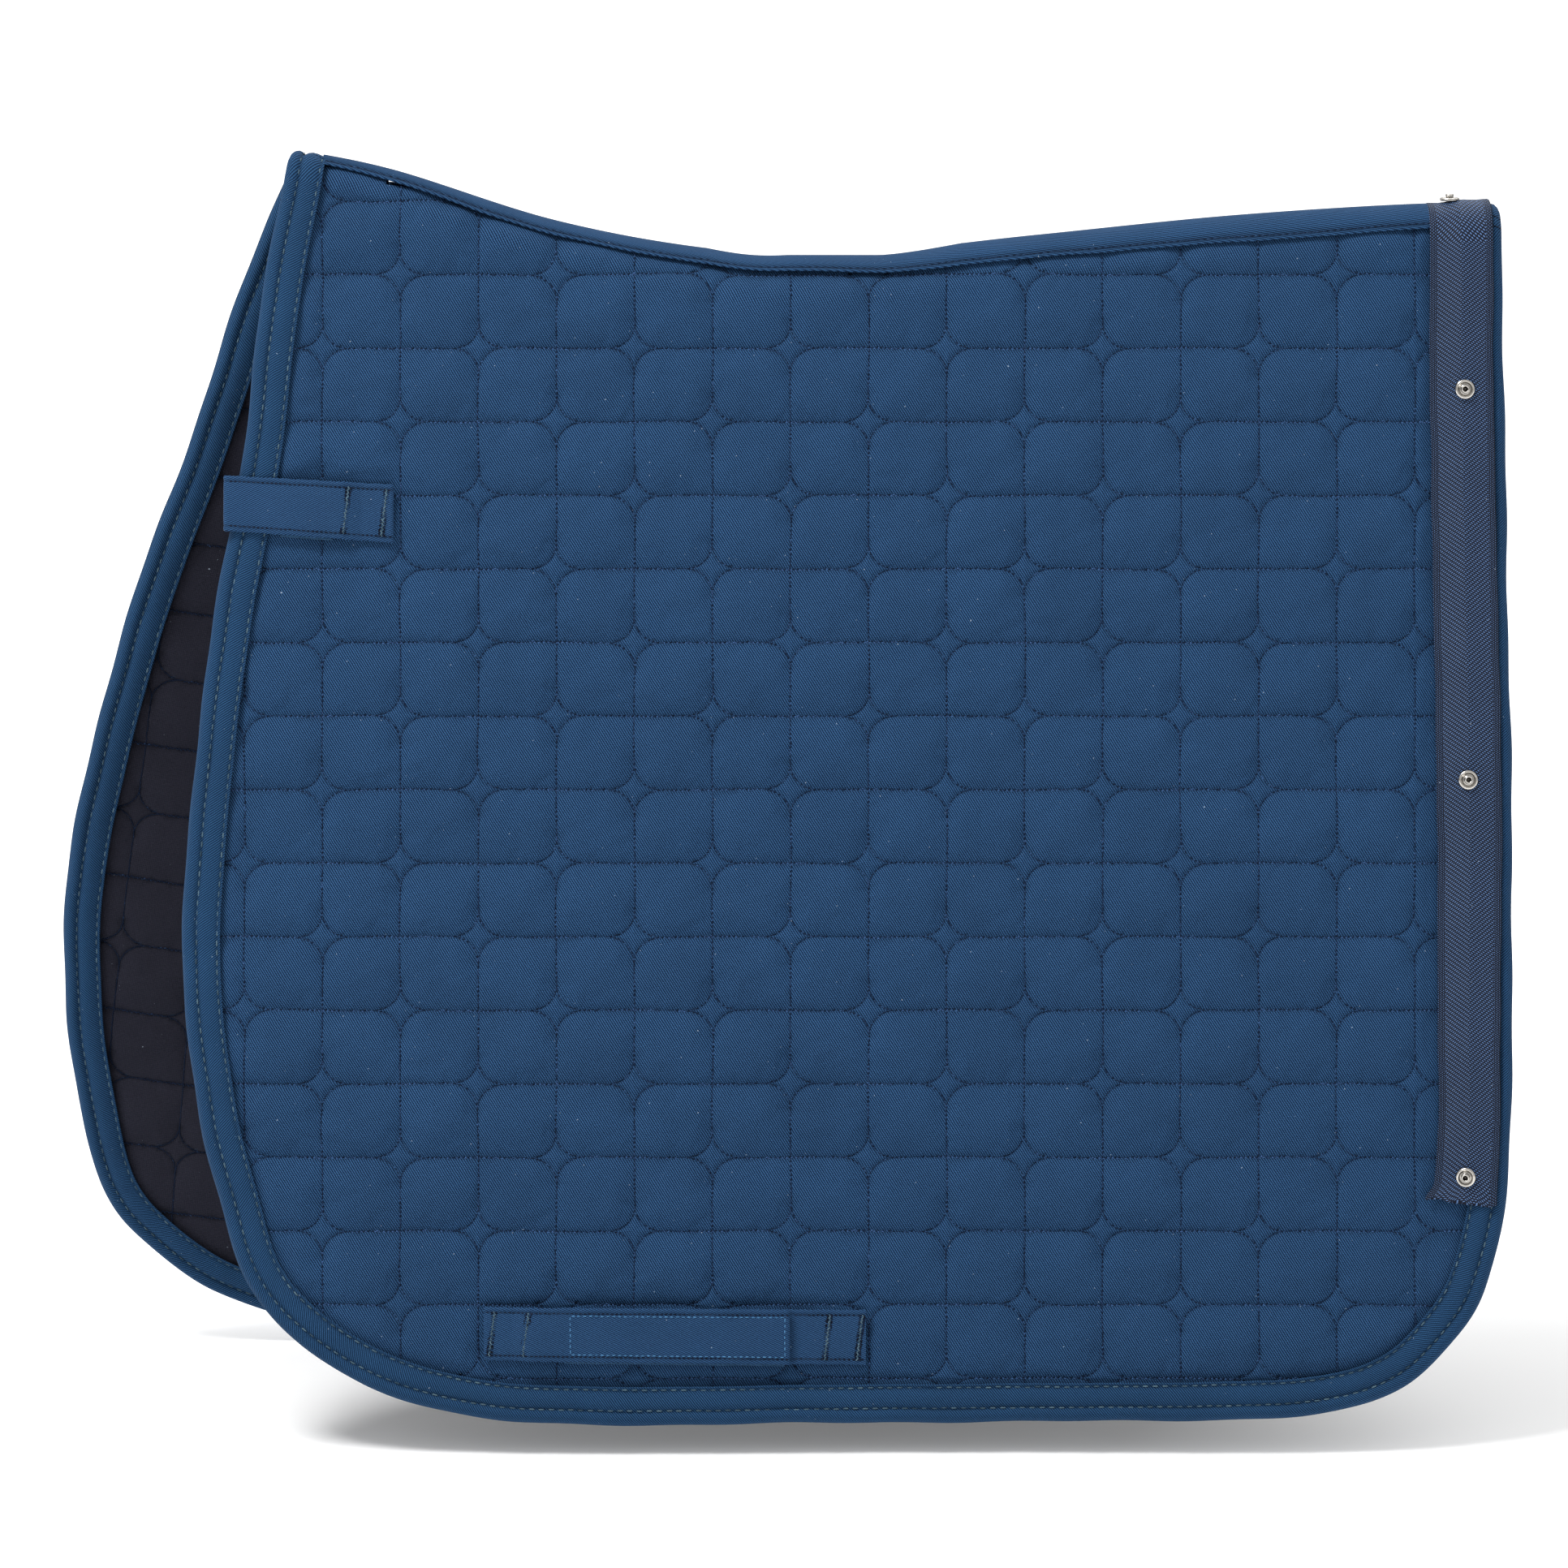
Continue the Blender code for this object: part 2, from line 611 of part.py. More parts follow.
def add_billet_strap(label, side, flap):
    """A strap that runs forwards from its stitched tab and wraps round the flap's front edge."""
    edges = between(BILLET_ENDS, BILLET_TOP_EDGE, BILLET_BOTTOM_EDGE)
    loop_out = ON_COVER
    hook_out = loop_out + BILLET_PATCH_THICKNESS + CLEARANCE
    strap_out = hook_out + BILLET_PATCH_THICKNESS + CLEARANCE
    tab = ramp_profile(BILLET_TAB_START, BILLET_RAMP, BILLET_ENDS[1], strap_out, ON_COVER, STRAP)
    strap(f"{label}_billet_strap_tab", side, tab, edges, "strap_twill", flap)
    loop = flat_profile(*BILLET_PATCH, loop_out, BILLET_PATCH_THICKNESS)
    strap(f"{label}_billet_loop_patch", side, loop, edges, "hook_and_loop", flap, BILLET_PATCH_INSET)
    top, bottom = edges(BILLET_TAB_START)
    hinge_spot = place(side, BILLET_TAB_START, (top + bottom) / 2, strap_out + STRAP + CLEARANCE)
    hinge = empty(f"{label}_billet_strap_hinge", hinge_spot, flap)
    hook = flat_profile(*BILLET_PATCH, hook_out, BILLET_PATCH_THICKNESS)
    strap(f"{label}_billet_hook_patch", side, hook, edges, "hook_and_loop", hinge, BILLET_PATCH_INSET)
    start, tip = BILLET_TAB_START - JOINT_GAP, BILLET_ENDS[0]
    wrapped = [
        (start, strap_out),
        (tip + STRAP, strap_out),
        (tip + STRAP, BILLET_TIP_DEPTH),
        (tip, BILLET_TIP_DEPTH),
        (tip, strap_out + STRAP / 2),
        (tip + STRAP / 2, strap_out + STRAP),
        (start, strap_out + STRAP),
    ]
    strap(f"{label}_billet_strap", side, wrapped, edges, "strap_twill", hinge)


# Flaps --------------------------------------------------------------------------------------------


def add_flap(label, side, spine):
    """One quilted flap, with its binding, trim, snaps and straps."""
    flap = empty(f"{label}_flap_hinge", place_flat(side, 0.0, HINGE_DROP, HINGE_OUT), spine)
    outline = layer_outline()
    slab(f"{label}_lining", side, outline, LINING, "lining_cotton", flap, HORSE_SEAT_OUT)
    slab(f"{label}_batting", side, outline, BATTING, "wadding", flap)
    slab(f"{label}_outer_cover", side, outline, COVER, "quilted_twill", flap, SADDLE_SEAT_OUT)
    swept_round_edge(f"{label}_edge_binding", side, channel_profile(), "binding_twill", flap)
    swept_round_edge(f"{label}_piping_cord", side, cord_profile(), "wadding", flap)
    tops = [(a, split_drop(a) + SPLIT_GAP / 2) for a in reversed(WEBBING_ON_SPINE)]
    trim = list(WEBBING_FRONT_EDGE) + list(WEBBING_REAR_EDGE) + tops
    slab(f"{label}_trim_webbing", side, trim, WEBBING, "trim_webbing", flap)
    for spot_name, (along, drop) in SNAP_SPOTS.items():
        stud_seat = place(side, along, drop, SNAP_SEAT)
        turned(f"{label}_{spot_name}_snap_stud", SNAP_PROFILE, stud_seat, outward(side), "nickel", flap)
        cap_seat = place(side, along, drop, SNAP_CAP_SEAT)
        turned(f"{label}_{spot_name}_snap_cap", CAP_PROFILE, cap_seat, -outward(side), "nickel", flap)
    add_girth_keeper(label, side, flap)
    add_billet_strap(label, side, flap)


def main():
    for old in list(bpy.data.objects):
        bpy.data.objects.remove(old)
    spine = empty("spine_origin", Vector((0, 0, 0)))
    add_spine(spine)
    add_crossover("front_binding_crossover", False, spine)
    add_crossover("rear_binding_crossover", True, spine)
    add_spine_webbing(spine)
    for label, side in SIDES.items():
        add_flap(label, side, spine)


main()
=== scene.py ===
"""The quilted saddle pad's looks: stitched cloth, binding, webbing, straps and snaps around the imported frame.

Cloth pieces are drawn in flap coordinates, as the frame is: along the spine (X), down the flap (drop), and
outwards from the lining's horse-side face (out). place() turns them into points in space.
"""

import math

import bmesh
import bpy
import numpy as np
from mathutils import Matrix, Vector


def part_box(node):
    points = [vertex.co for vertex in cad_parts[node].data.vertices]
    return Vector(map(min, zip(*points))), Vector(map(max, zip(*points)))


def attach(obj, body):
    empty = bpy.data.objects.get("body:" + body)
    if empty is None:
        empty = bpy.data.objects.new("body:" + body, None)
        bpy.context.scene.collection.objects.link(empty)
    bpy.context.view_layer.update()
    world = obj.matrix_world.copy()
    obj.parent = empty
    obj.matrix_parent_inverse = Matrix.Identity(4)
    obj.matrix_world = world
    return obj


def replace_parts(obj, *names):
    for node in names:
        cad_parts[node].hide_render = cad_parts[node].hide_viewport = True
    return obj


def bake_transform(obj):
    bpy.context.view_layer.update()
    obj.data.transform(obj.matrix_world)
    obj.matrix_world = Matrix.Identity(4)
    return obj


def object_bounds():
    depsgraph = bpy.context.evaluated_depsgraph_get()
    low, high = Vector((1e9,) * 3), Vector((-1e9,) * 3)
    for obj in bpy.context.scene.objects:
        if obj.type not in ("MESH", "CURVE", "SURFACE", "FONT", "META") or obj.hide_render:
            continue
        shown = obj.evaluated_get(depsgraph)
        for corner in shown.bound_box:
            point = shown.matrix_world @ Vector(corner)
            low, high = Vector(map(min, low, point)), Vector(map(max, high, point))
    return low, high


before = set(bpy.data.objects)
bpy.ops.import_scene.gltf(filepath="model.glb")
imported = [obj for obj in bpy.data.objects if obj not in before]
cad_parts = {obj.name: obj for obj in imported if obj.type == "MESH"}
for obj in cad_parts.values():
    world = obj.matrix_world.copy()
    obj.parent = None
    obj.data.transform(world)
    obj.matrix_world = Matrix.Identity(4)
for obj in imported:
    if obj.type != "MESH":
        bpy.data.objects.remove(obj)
CAD_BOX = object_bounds()

LEFT, RIGHT = -1, 1
SIDES = {"left": LEFT, "right": RIGHT}

# How the pad hangs, as in the frame.
SPLAY = math.radians(9.5)
SIN, COS = math.sin(SPLAY), math.cos(SPLAY)
HALF_GAP = 0.0124
MIDDLE = 0.0041
BAND_TOP = 0.0097
THICKNESS = 2 * MIDDLE
CREST = (
    (-0.262, -0.0612), (-0.208, -0.0505), (-0.133, -0.0274), (-0.063, -0.0144), (0.0, -0.0108),
    (0.094, -0.0201), (0.187, -0.0293), (0.2725, -0.0346), (0.320, -0.0346),
)
REST_HALF_LENGTH, REST_BLEND = 0.022, 0.060
FLAP_EDGE = (
    (-0.256, -0.058), (-0.268, 0.008), (-0.278, 0.087), (-0.292, 0.167), (-0.301, 0.239),
    (-0.306, 0.322), (-0.2995, 0.385), (-0.288, 0.434), (-0.275, 0.474), (-0.252, 0.500),
    (-0.216, 0.522), (-0.166, 0.536), (-0.100, 0.539), (0.030, 0.538), (0.160, 0.537),
    (0.228, 0.534), (0.264, 0.523), (0.289, 0.501), (0.306, 0.472), (0.316, 0.425),
    (0.3178, 0.330), (0.3175, 0.244), (0.3146, 0.084), (0.3131, -0.014), (0.3125, -0.060),
)
SWING, SWING_EASE = 0.2366, 0.1289
SAG_SLOPE, SAG_LENGTH, SAG_FADE, PEAK_ALONG = 0.135, 0.12, 0.15, -0.250
BINDING_WIDTH = 0.0183

# The straps' stretches along the spine, and the drops of their long edges at both ends.
GIRTH = {"ends": (-0.1642, 0.0148), "top": (0.4834, 0.4849), "bottom": (0.5084, 0.5107)}
BILLET = {"ends": (-0.2858, -0.2063), "top": (0.0942, 0.0984), "bottom": (0.1201, 0.1258)}

# The quilting: a grid of seams, with a concave star at every other crossing.
CELL = (0.03656, 0.03447)
CELL_ORIGIN = (0.0160, 0.0)
CELL_ROWS = (-3, 16)
CELL_COLUMNS = (-9, 9)
LINES_PER_CELL = 24
BLOCKS_PER_CELL = 4
STAR = (0.0126, 0.0119)
SEAM_OUT, PUFF = 0.0058, 0.0036
STAR_PUFF = 0.0013
ROW_REACH, COLUMN_REACH, COLUMN_LIFT = 0.0040, 0.0036, 0.50
DOME_SHARE, DOME_REACH = 0.42, 0.0172
LINING_PUFF = 0.0019


# Curves and places --------------------------------------------------------------------------------


def spline(points, per_span):
    """Points along a Catmull-Rom curve through the given ones."""
    knots = np.array(points, float)
    ends = np.vstack([2 * knots[0] - knots[1], knots, 2 * knots[-1] - knots[-2]])
    t = (np.arange(per_span) / per_span)[:, None]
    made = []
    for i in range(len(knots) - 1):
        p0, p1, p2, p3 = ends[i : i + 4]
        made.append(0.5 * (2 * p1 + (p2 - p0) * t + (2 * p0 - 5 * p1 + 4 * p2 - p3) * t**2
                           + (3 * p1 - p0 - 3 * p2 + p3) * t**3))
    return np.vstack([*made, knots[-1:]])


CREST_CURVE = spline(CREST, 40)
EDGE_CURVE = spline(FLAP_EDGE, 40)


def fold(along):
    """(height of the fold's centre, its inner radius, drop where the flap turns flat, drop of its top)."""
    eased = np.interp(np.abs(along), (0, REST_HALF_LENGTH, REST_BLEND, 1), (0, 0, REST_BLEND, 1))
    reach = -np.interp(np.sign(along) * eased, CREST_CURVE[:, 0], CREST_CURVE[:, 1])
    height = (reach - HALF_GAP * (SIN + COS) - BAND_TOP) / (COS - SIN)
    radius = HALF_GAP * COS - height * SIN
    flat_from = -(HALF_GAP * SIN + height * COS)
    return height, radius, flat_from, flat_from - (math.pi / 2 - SPLAY) * (radius + MIDDLE)


def resting_height():
    """How far the frame was raised to bring the level face under its inner tape to Z = 0."""
    height, radius, _, _ = fold(0.0)
    return -(height + (radius - 0.0015) * math.cos(0.002 / (radius + MIDDLE)))


RAISED = resting_height()


def smoothstep(x):
    """The smooth step from 0 at 0 to 1 at 1."""
    x = np.clip(x, 0, 1)
    return x * x * (3 - 2 * x)


def hang(side, along, drop):
    """The slow waves of a hanging flap, as an offset outwards."""
    free = smoothstep((drop - 0.02) / 0.25)
    phase = 0.0 if side == LEFT else 1.9
    waves = (
        0.0011 * np.sin(11 * along + 7 * drop + 0.6 + phase)
        + 0.0007 * np.sin(23 * along - 9 * drop + 2.1 + phase)
        + 0.0005 * np.sin(31 * drop + 8 * along + 4.0 + phase)
    )
    return free * waves


def place(side, along, drop, out):
    """Points in space of points in flap coordinates."""
    along, drop, out = np.broadcast_arrays(*(np.asarray(v, float) for v in (along, drop, out)))
    out = out + hang(side, along, drop)
    if side == RIGHT:
        below = np.maximum(0, drop - fold(along)[2])
        sag = smoothstep(below / SAG_FADE) * SAG_SLOPE * SAG_LENGTH
        sag = sag * (1 - np.exp(-(along - PEAK_ALONG) / SAG_LENGTH))
        along, drop = along - SWING * below + SWING_EASE * below**2, drop + sag
    height, radius, flat_from, _ = fold(along)
    angle = SPLAY + (flat_from - drop) / (radius + MIDDLE)
    on_fold = drop < flat_from
    y = np.where(on_fold, (radius + out) * np.cos(angle), HALF_GAP + drop * SIN + out * COS)
    z = np.where(on_fold, height + (radius + out) * np.sin(angle), -drop * COS + out * SIN)
    return np.stack([along, side * y, RAISED + z], -1)


def edge_path(spacing):
    """Stations round a flap's edge from crest to crest: (along, drop) and the unit direction inwards."""
    curve = EDGE_CURVE
    tops = fold(curve[:, 0])[3]
    inside = curve[:, 1] > tops
    curve = curve[inside]
    first = np.array([[curve[0, 0] + 0.0004, fold(curve[0, 0])[3]]])
    last = np.array([[curve[-1, 0], fold(curve[-1, 0])[3]]])
    curve = np.vstack([first, curve, last])
    lengths = np.r_[0, np.cumsum(np.linalg.norm(np.diff(curve, axis=0), axis=1))]
    steps = np.linspace(0, lengths[-1], int(lengths[-1] / spacing) + 1)
    path = np.stack([np.interp(steps, lengths, curve[:, k]) for k in (0, 1)], -1)
    run = np.gradient(path, axis=0)
    run /= np.linalg.norm(run, axis=1)[:, None]
    run[0] = run[-1] * [1, -1]
    return steps, path, np.stack([run[:, 1], -run[:, 0]], -1)


def wander(x, y, seed):
    """A smooth, repeatable irregularity between about -1 and 1, for cloth measured in metres."""
    shift = seed * 1.7
    waves = ((95, 41, 1.0), (-63, 118, 2.3), (171, 77, 3.1))
    return sum(np.sin(a * x + b * y + c * shift) for a, b, c in waves) / 3


# Pieces -------------------------------------------------------------------------------------------


def make(name, points, faces, material, cloth=None, tone=None):
    """A mesh piece. cloth is where each point lies on the cloth, in metres, and tone a shade from 0 to 1: low
    tone paints shade into cloth's grooves and seams, and on the quilting thread high tone paints highlights.
    """
    mesh = bpy.data.meshes.new(name)
    mesh.from_pydata(np.asarray(points).tolist(), [], faces)
    if cloth is not None:
        flat = np.zeros((len(mesh.vertices), 3), np.float32)
        flat[:, :2] = np.asarray(cloth)[:, :2]
        mesh.attributes.new("cloth", "FLOAT_VECTOR", "POINT").data.foreach_set("vector", flat.ravel())
    if tone is not None:
        shade = np.asarray(tone, np.float32)
        mesh.attributes.new("tone", "FLOAT", "POINT").data.foreach_set("value", shade.ravel())
    mesh.materials.append(material)
    mesh.shade_smooth()
    made = bpy.data.objects.new(name, mesh)
    bpy.context.scene.collection.objects.link(made)
    return made


def on_flap(piece, label, side, *nodes):
    """A cloth piece baked into place, that stands for the given nodes."""
    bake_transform(piece)
    if nodes:
        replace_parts(piece, *nodes)
    return piece


def ring_faces(rows, ring):
    """Faces of a tube of rows of closed rings, with its ends capped."""
    r, k = np.meshgrid(np.arange(rows - 1), np.arange(ring), indexing="ij")
    a, b = r * ring + k, r * ring + (k + 1) % ring
    faces = np.stack([a, b, b + ring, a + ring], -1).reshape(-1, 4).tolist()
    faces.append(list(range(ring))[::-1])
    faces.append([(rows - 1) * ring + i for i in range(ring)])
    return faces


def fix_normals(piece):
    """Turn a closed piece's faces outwards."""
    shape = bmesh.new()
    shape.from_mesh(piece.data)
    bmesh.ops.recalc_face_normals(shape, faces=shape.faces)
    shape.to_mesh(piece.data)
    shape.free()
    return piece


# Materials ----------------------------------------------------------------------------------------


def node(tree, kind, inputs=None, **settings):
    """A shader node with its settings, and its inputs given as values or as other nodes' outputs."""
    made = tree.nodes.new("ShaderNode" + kind)
    for key, value in settings.items():
        setattr(made, key, value)
    for key, value in (inputs or {}).items():
        if isinstance(value, bpy.types.NodeSocket):
            tree.links.new(value, made.inputs[key])
        else:
            made.inputs[key].default_value = value
    return made


def calc(tree, operation, a, b=0.0, c=0.0):
    """The result of a math node."""
    return node(tree, "Math", {0: a, 1: b, 2: c}, operation=operation).outputs[0]


def blend_colour(tree, share, a, b, mode="MIX"):
    """Colour a mixed with colour b."""
    made = node(tree, "Mix", {0: share, 6: a, 7: b}, data_type="RGBA", blend_type=mode, clamp_result=False)
    return made.outputs[2]


def rgba(colour):
    """A colour with full opacity."""
    return (*colour, 1.0)


def start_material(name):
    """A new material, its node tree and its shader."""
    made = bpy.data.materials.new(name)
    made.use_nodes = True
    return made, made.node_tree, made.node_tree.nodes["Principled BSDF"]


def cloth_point(tree):
    """Where a point lies on its cloth, in millimetres."""
    spot = node(tree, "Attribute", attribute_name="cloth").outputs["Vector"]
    return node(tree, "VectorMath", {0: spot, "Scale": 1000.0}, operation="SCALE").outputs[0]


def stripes(tree, spot, degrees, pitch, phase=0.0):
    """0 to 1 waves with the given pitch, whose lines run at an angle to the along direction."""
    turn = math.radians(degrees)
    across = (-math.sin(turn) * 2 * math.pi / pitch, math.cos(turn) * 2 * math.pi / pitch, 0)
    dot = node(tree, "VectorMath", {0: spot, 1: across}, operation="DOT_PRODUCT").outputs["Value"]
    wave = calc(tree, "SINE", calc(tree, "ADD", dot, phase))
    return calc(tree, "MULTIPLY_ADD", wave, 0.5, 0.5)


def noise(tree, spot, scale, detail=2.0, roughness=0.5):
    """Soft noise between 0 and 1, about 0.5 on average."""
    made = node(tree, "TexNoise", {"Vector": spot, "Scale": scale, "Detail": detail, "Roughness": roughness})
    return made.outputs["Fac"]


LINT_CUT, LINT_COLOUR, LINT_SHARE = 0.797, (0.42, 0.5, 0.6), 0.5
BROAD_SCALE, WORN_SCALE, FUZZ_SCALE = 0.022, 0.05, 2.6


def finish_cloth(tree, shader, spot, height, dark, light, bump, sheen=0.06, groove=0.5, rough=0.82,
                 mottle=0.16, contrast=1.0, bias=0.0):
    """Colour, sheen, roughness and bump of a woven cloth from the height of its weave, with painted shade where
    the piece's tone is low.
    """
    spread = calc(tree, "MULTIPLY_ADD", noise(tree, spot, 0.9, 3.0, 0.7), mottle * 2.6, -mottle * 1.3)
    stretched = calc(tree, "MULTIPLY_ADD", height, contrast, 0.5 - 0.5 * contrast - bias)
    share = node(tree, "Clamp", {0: calc(tree, "ADD", stretched, spread)}).outputs[0]
    colour = blend_colour(tree, share, rgba(dark), rgba(light))
    broad = calc(tree, "MULTIPLY_ADD", noise(tree, spot, BROAD_SCALE, 3.0), 0.34, 0.83)
    # Painted shade: where a piece's tone is low, in its grooves and seams, the colour is darkened down to the
    # given groove share, on top of the broad random mottling.
    tone = node(tree, "Attribute", attribute_name="tone").outputs["Fac"]
    level = calc(tree, "MULTIPLY", broad, calc(tree, "MULTIPLY_ADD", tone, 1 - groove, groove))
    mottle_and_painted_shade = node(tree, "CombineColor", {0: level, 1: level, 2: level}).outputs[0]
    colour = blend_colour(tree, 1.0, colour, mottle_and_painted_shade, "MULTIPLY")
    lint = calc(tree, "GREATER_THAN", noise(tree, spot, 0.62, 1.0), LINT_CUT)
    colour = blend_colour(tree, calc(tree, "MULTIPLY", lint, LINT_SHARE), colour, rgba(LINT_COLOUR))
    tree.links.new(colour, shader.inputs["Base Color"])
    raised = calc(tree, "MULTIPLY_ADD", noise(tree, spot, FUZZ_SCALE, 2.0), 0.35, height)
    bumped = node(tree, "Bump", {"Height": raised, "Distance": bump, "Strength": 1.0})
    tree.links.new(bumped.outputs[0], shader.inputs["Normal"])
    worn = calc(tree, "MULTIPLY_ADD", noise(tree, spot, WORN_SCALE, 2.0), 0.16, rough - 0.08)
    tree.links.new(worn, shader.inputs["Roughness"])
    shader.inputs["Sheen Weight"].default_value = sheen
    shader.inputs["Sheen Roughness"].default_value = 0.5
    shader.inputs["Sheen Tint"].default_value = rgba((0.25, 0.45, 0.8))
    shader.inputs["Specular IOR Level"].default_value = 0.08


def twill(name, degrees, pitch, dark, light, float_share=0.3, contrast=1.15, **finish):
    """Diagonal twill: wales at an angle, broken into short floats."""
    made, tree, shader = start_material(name)
    spot = cloth_point(tree)
    drift = calc(tree, "MULTIPLY", noise(tree, spot, 0.3, 2.0), 2.4)
    wale = stripes(tree, spot, degrees, pitch, drift)
    floats = stripes(tree, spot, degrees - 64, pitch * 0.93, calc(tree, "MULTIPLY", drift, 1.7))
    broken = calc(tree, "MULTIPLY_ADD", floats, float_share, 1 - float_share)
    height = calc(tree, "MULTIPLY", wale, broken)
    finish_cloth(tree, shader, spot, height, dark, light, contrast=contrast, **finish)
    return made


# The webbing's weave, in millimetres.
CHEVRON_PITCH, CHEVRON_SLOPES = 1.06, (0.64, 0.50)
BEAD_PITCH, BORDER_FROM = 1.56, 11.4
DOT_ACROSS, DOT_DOWN = 0.80, 1.05


def herringbone(name, dark, light):
    """Webbing woven in chevrons: rows of short bright floats that rise to the middle on both halves."""
    made, tree, shader = start_material(name)
    spot = cloth_point(tree)
    across, down = (node(tree, "SeparateXYZ", {0: spot}).outputs[k] for k in (0, 1))
    distance = calc(tree, "ABSOLUTE", across)
    left, right = CHEVRON_SLOPES
    slope = calc(tree, "MULTIPLY_ADD", calc(tree, "GREATER_THAN", across, 0.0), right - left, left)
    row = calc(tree, "SUBTRACT", down, calc(tree, "MULTIPLY", distance, slope))
    row = calc(tree, "DIVIDE", row, CHEVRON_PITCH)
    ridge = calc(tree, "SINE", calc(tree, "MULTIPLY", row, 2 * math.pi))
    half = calc(tree, "MULTIPLY", calc(tree, "FLOOR", calc(tree, "ADD", row, 0.25)), 0.5)
    column = calc(tree, "ADD", calc(tree, "DIVIDE", across, BEAD_PITCH), half)
    bead = calc(tree, "SINE", calc(tree, "MULTIPLY", column, 2 * math.pi))
    beads = calc(tree, "MULTIPLY_ADD", bead, 0.26, 0.6)
    rows = calc(tree, "MULTIPLY_ADD", ridge, 0.5, 0.5)
    chevrons = calc(tree, "MULTIPLY", rows, calc(tree, "MULTIPLY", beads, 1.25))
    column = stripes(tree, spot, 90, DOT_ACROSS)
    level = calc(tree, "MULTIPLY", calc(tree, "FLOOR", calc(tree, "DIVIDE", across, DOT_ACROSS)), math.pi)
    dots = calc(tree, "MULTIPLY", column, stripes(tree, spot, 0, DOT_DOWN, level))
    border = calc(tree, "GREATER_THAN", distance, BORDER_FROM)
    height = node(tree, "Mix", {0: border, 2: chevrons, 3: dots}, data_type="FLOAT").outputs[0]
    finish_cloth(tree, shader, spot, height, dark, light, bump=0.00030, sheen=0.03, rough=0.6, mottle=0.10,
                 contrast=2.8, bias=0.34)
    shader.inputs["Specular IOR Level"].default_value = 0.2
    return made


def napped(name, dark, light, scale, bump):
    """A dark, slightly fuzzy plain cloth."""
    made, tree, shader = start_material(name)
    spot = cloth_point(tree)
    warp = stripes(tree, spot, 90, 0.62, calc(tree, "MULTIPLY", noise(tree, spot, 0.8), 3.0))
    weft = stripes(tree, spot, 0, 0.70, calc(tree, "MULTIPLY", noise(tree, spot, 1.1), 3.0))
    grain = calc(tree, "MULTIPLY", calc(tree, "ADD", warp, weft), 0.3)
    height = calc(tree, "MULTIPLY_ADD", noise(tree, spot, scale, 4.0, 0.7), 0.8, grain)
    height = calc(tree, "SUBTRACT", height, 0.2)
    finish_cloth(tree, shader, spot, height, dark, light, bump, sheen=0.10, rough=0.95, mottle=0.2)
    return made


def thread(name, dark, light):
    """Twisted thread whose stitches vary in shade by their tone, which on the quilting holds painted highlights
    and glints.
    """
    made, tree, shader = start_material(name)
    tone = node(tree, "Attribute", attribute_name="tone").outputs["Fac"]
    spot = cloth_point(tree)
    ply = stripes(tree, spot, 40, 0.35)
    share = calc(tree, "MULTIPLY_ADD", ply, 0.25, calc(tree, "SUBTRACT", tone, 0.12))
    colour = blend_colour(tree, share, rgba(dark), rgba(light))
    tree.links.new(colour, shader.inputs["Base Color"])
    bumped = node(tree, "Bump", {"Height": ply, "Distance": 0.00008})
    tree.links.new(bumped.outputs[0], shader.inputs["Normal"])
    shader.inputs["Roughness"].default_value = 0.6
    shader.inputs["Specular IOR Level"].default_value = 0.12
    return made


def nickel_plate(name):
    """Smeared nickel plate, with painted shade in its hollows."""
    made, tree, shader = start_material(name)
    spot = node(tree, "TexCoord").outputs["Object"]
    smear = noise(tree, spot, 900.0, 3.0)
    fine = noise(tree, spot, 9000.0, 2.0)
    plate = blend_colour(tree, smear, rgba((0.44, 0.41, 0.37)), rgba((0.70, 0.68, 0.64)))
    # Painted shade: ambient occlusion darkens the plate towards near black in the snap's hollows.
    exposed = node(tree, "AmbientOcclusion", {"Distance": 0.0022}, samples=8).outputs["AO"]
    shaded = node(tree, "MapRange", {0: exposed, 1: 0.25, 2: 0.85, 3: 0.0, 4: 1.0}).outputs[0]
    colour = blend_colour(tree, shaded, rgba((0.055, 0.050, 0.046)), plate)
    tree.links.new(colour, shader.inputs["Base Color"])
    tree.links.new(calc(tree, "MULTIPLY_ADD", smear, 0.16, 0.12), shader.inputs["Roughness"])
    bumped = node(tree, "Bump", {"Height": fine, "Distance": 0.000004})
    tree.links.new(bumped.outputs[0], shader.inputs["Normal"])
    shader.inputs["Metallic"].default_value = 1.0
    return made


COVER_TWILL = twill("cover_twill", 58, 1.02, (0.0016, 0.0085, 0.030), (0.034, 0.100, 0.219), bump=0.00016,
                    groove=0.76)
BINDING_TWILL = twill("binding_twill_cloth", -52, 0.98, (0.0024, 0.0125, 0.038), (0.026, 0.085, 0.186),
                      bump=0.00016, groove=0.62)
BAND_TWILL = twill("band_twill", 12, 0.80, (0.0030, 0.014, 0.042), (0.030, 0.090, 0.198), bump=0.00016,
                   groove=0.35)
STRAP_TWILL = twill("strap_twill_cloth", 24, 0.86, (0.003, 0.014, 0.045), (0.031, 0.091, 0.200), bump=0.00012,
                    rough=0.7)
WEBBING = herringbone("herringbone_webbing", (0.0012, 0.0034, 0.013), (0.095, 0.178, 0.365))
LINING = napped("lining_cloth", (0.0042, 0.0042, 0.0074), (0.032, 0.031, 0.045), 1.3, 0.0003)
QUILT_THREAD = thread("quilt_thread", (0.0025, 0.008, 0.026), (0.050, 0.110, 0.26))
BINDING_THREAD = thread("binding_thread", (0.012, 0.034, 0.062), (0.105, 0.175, 0.225))
BOX_THREAD = thread("box_thread", (0.022, 0.085, 0.19), (0.085, 0.235, 0.44))
DARK_THREAD = thread("dark_thread", (0.002, 0.003, 0.009), (0.018, 0.03, 0.07))
NICKEL = nickel_plate("nickel_plate")
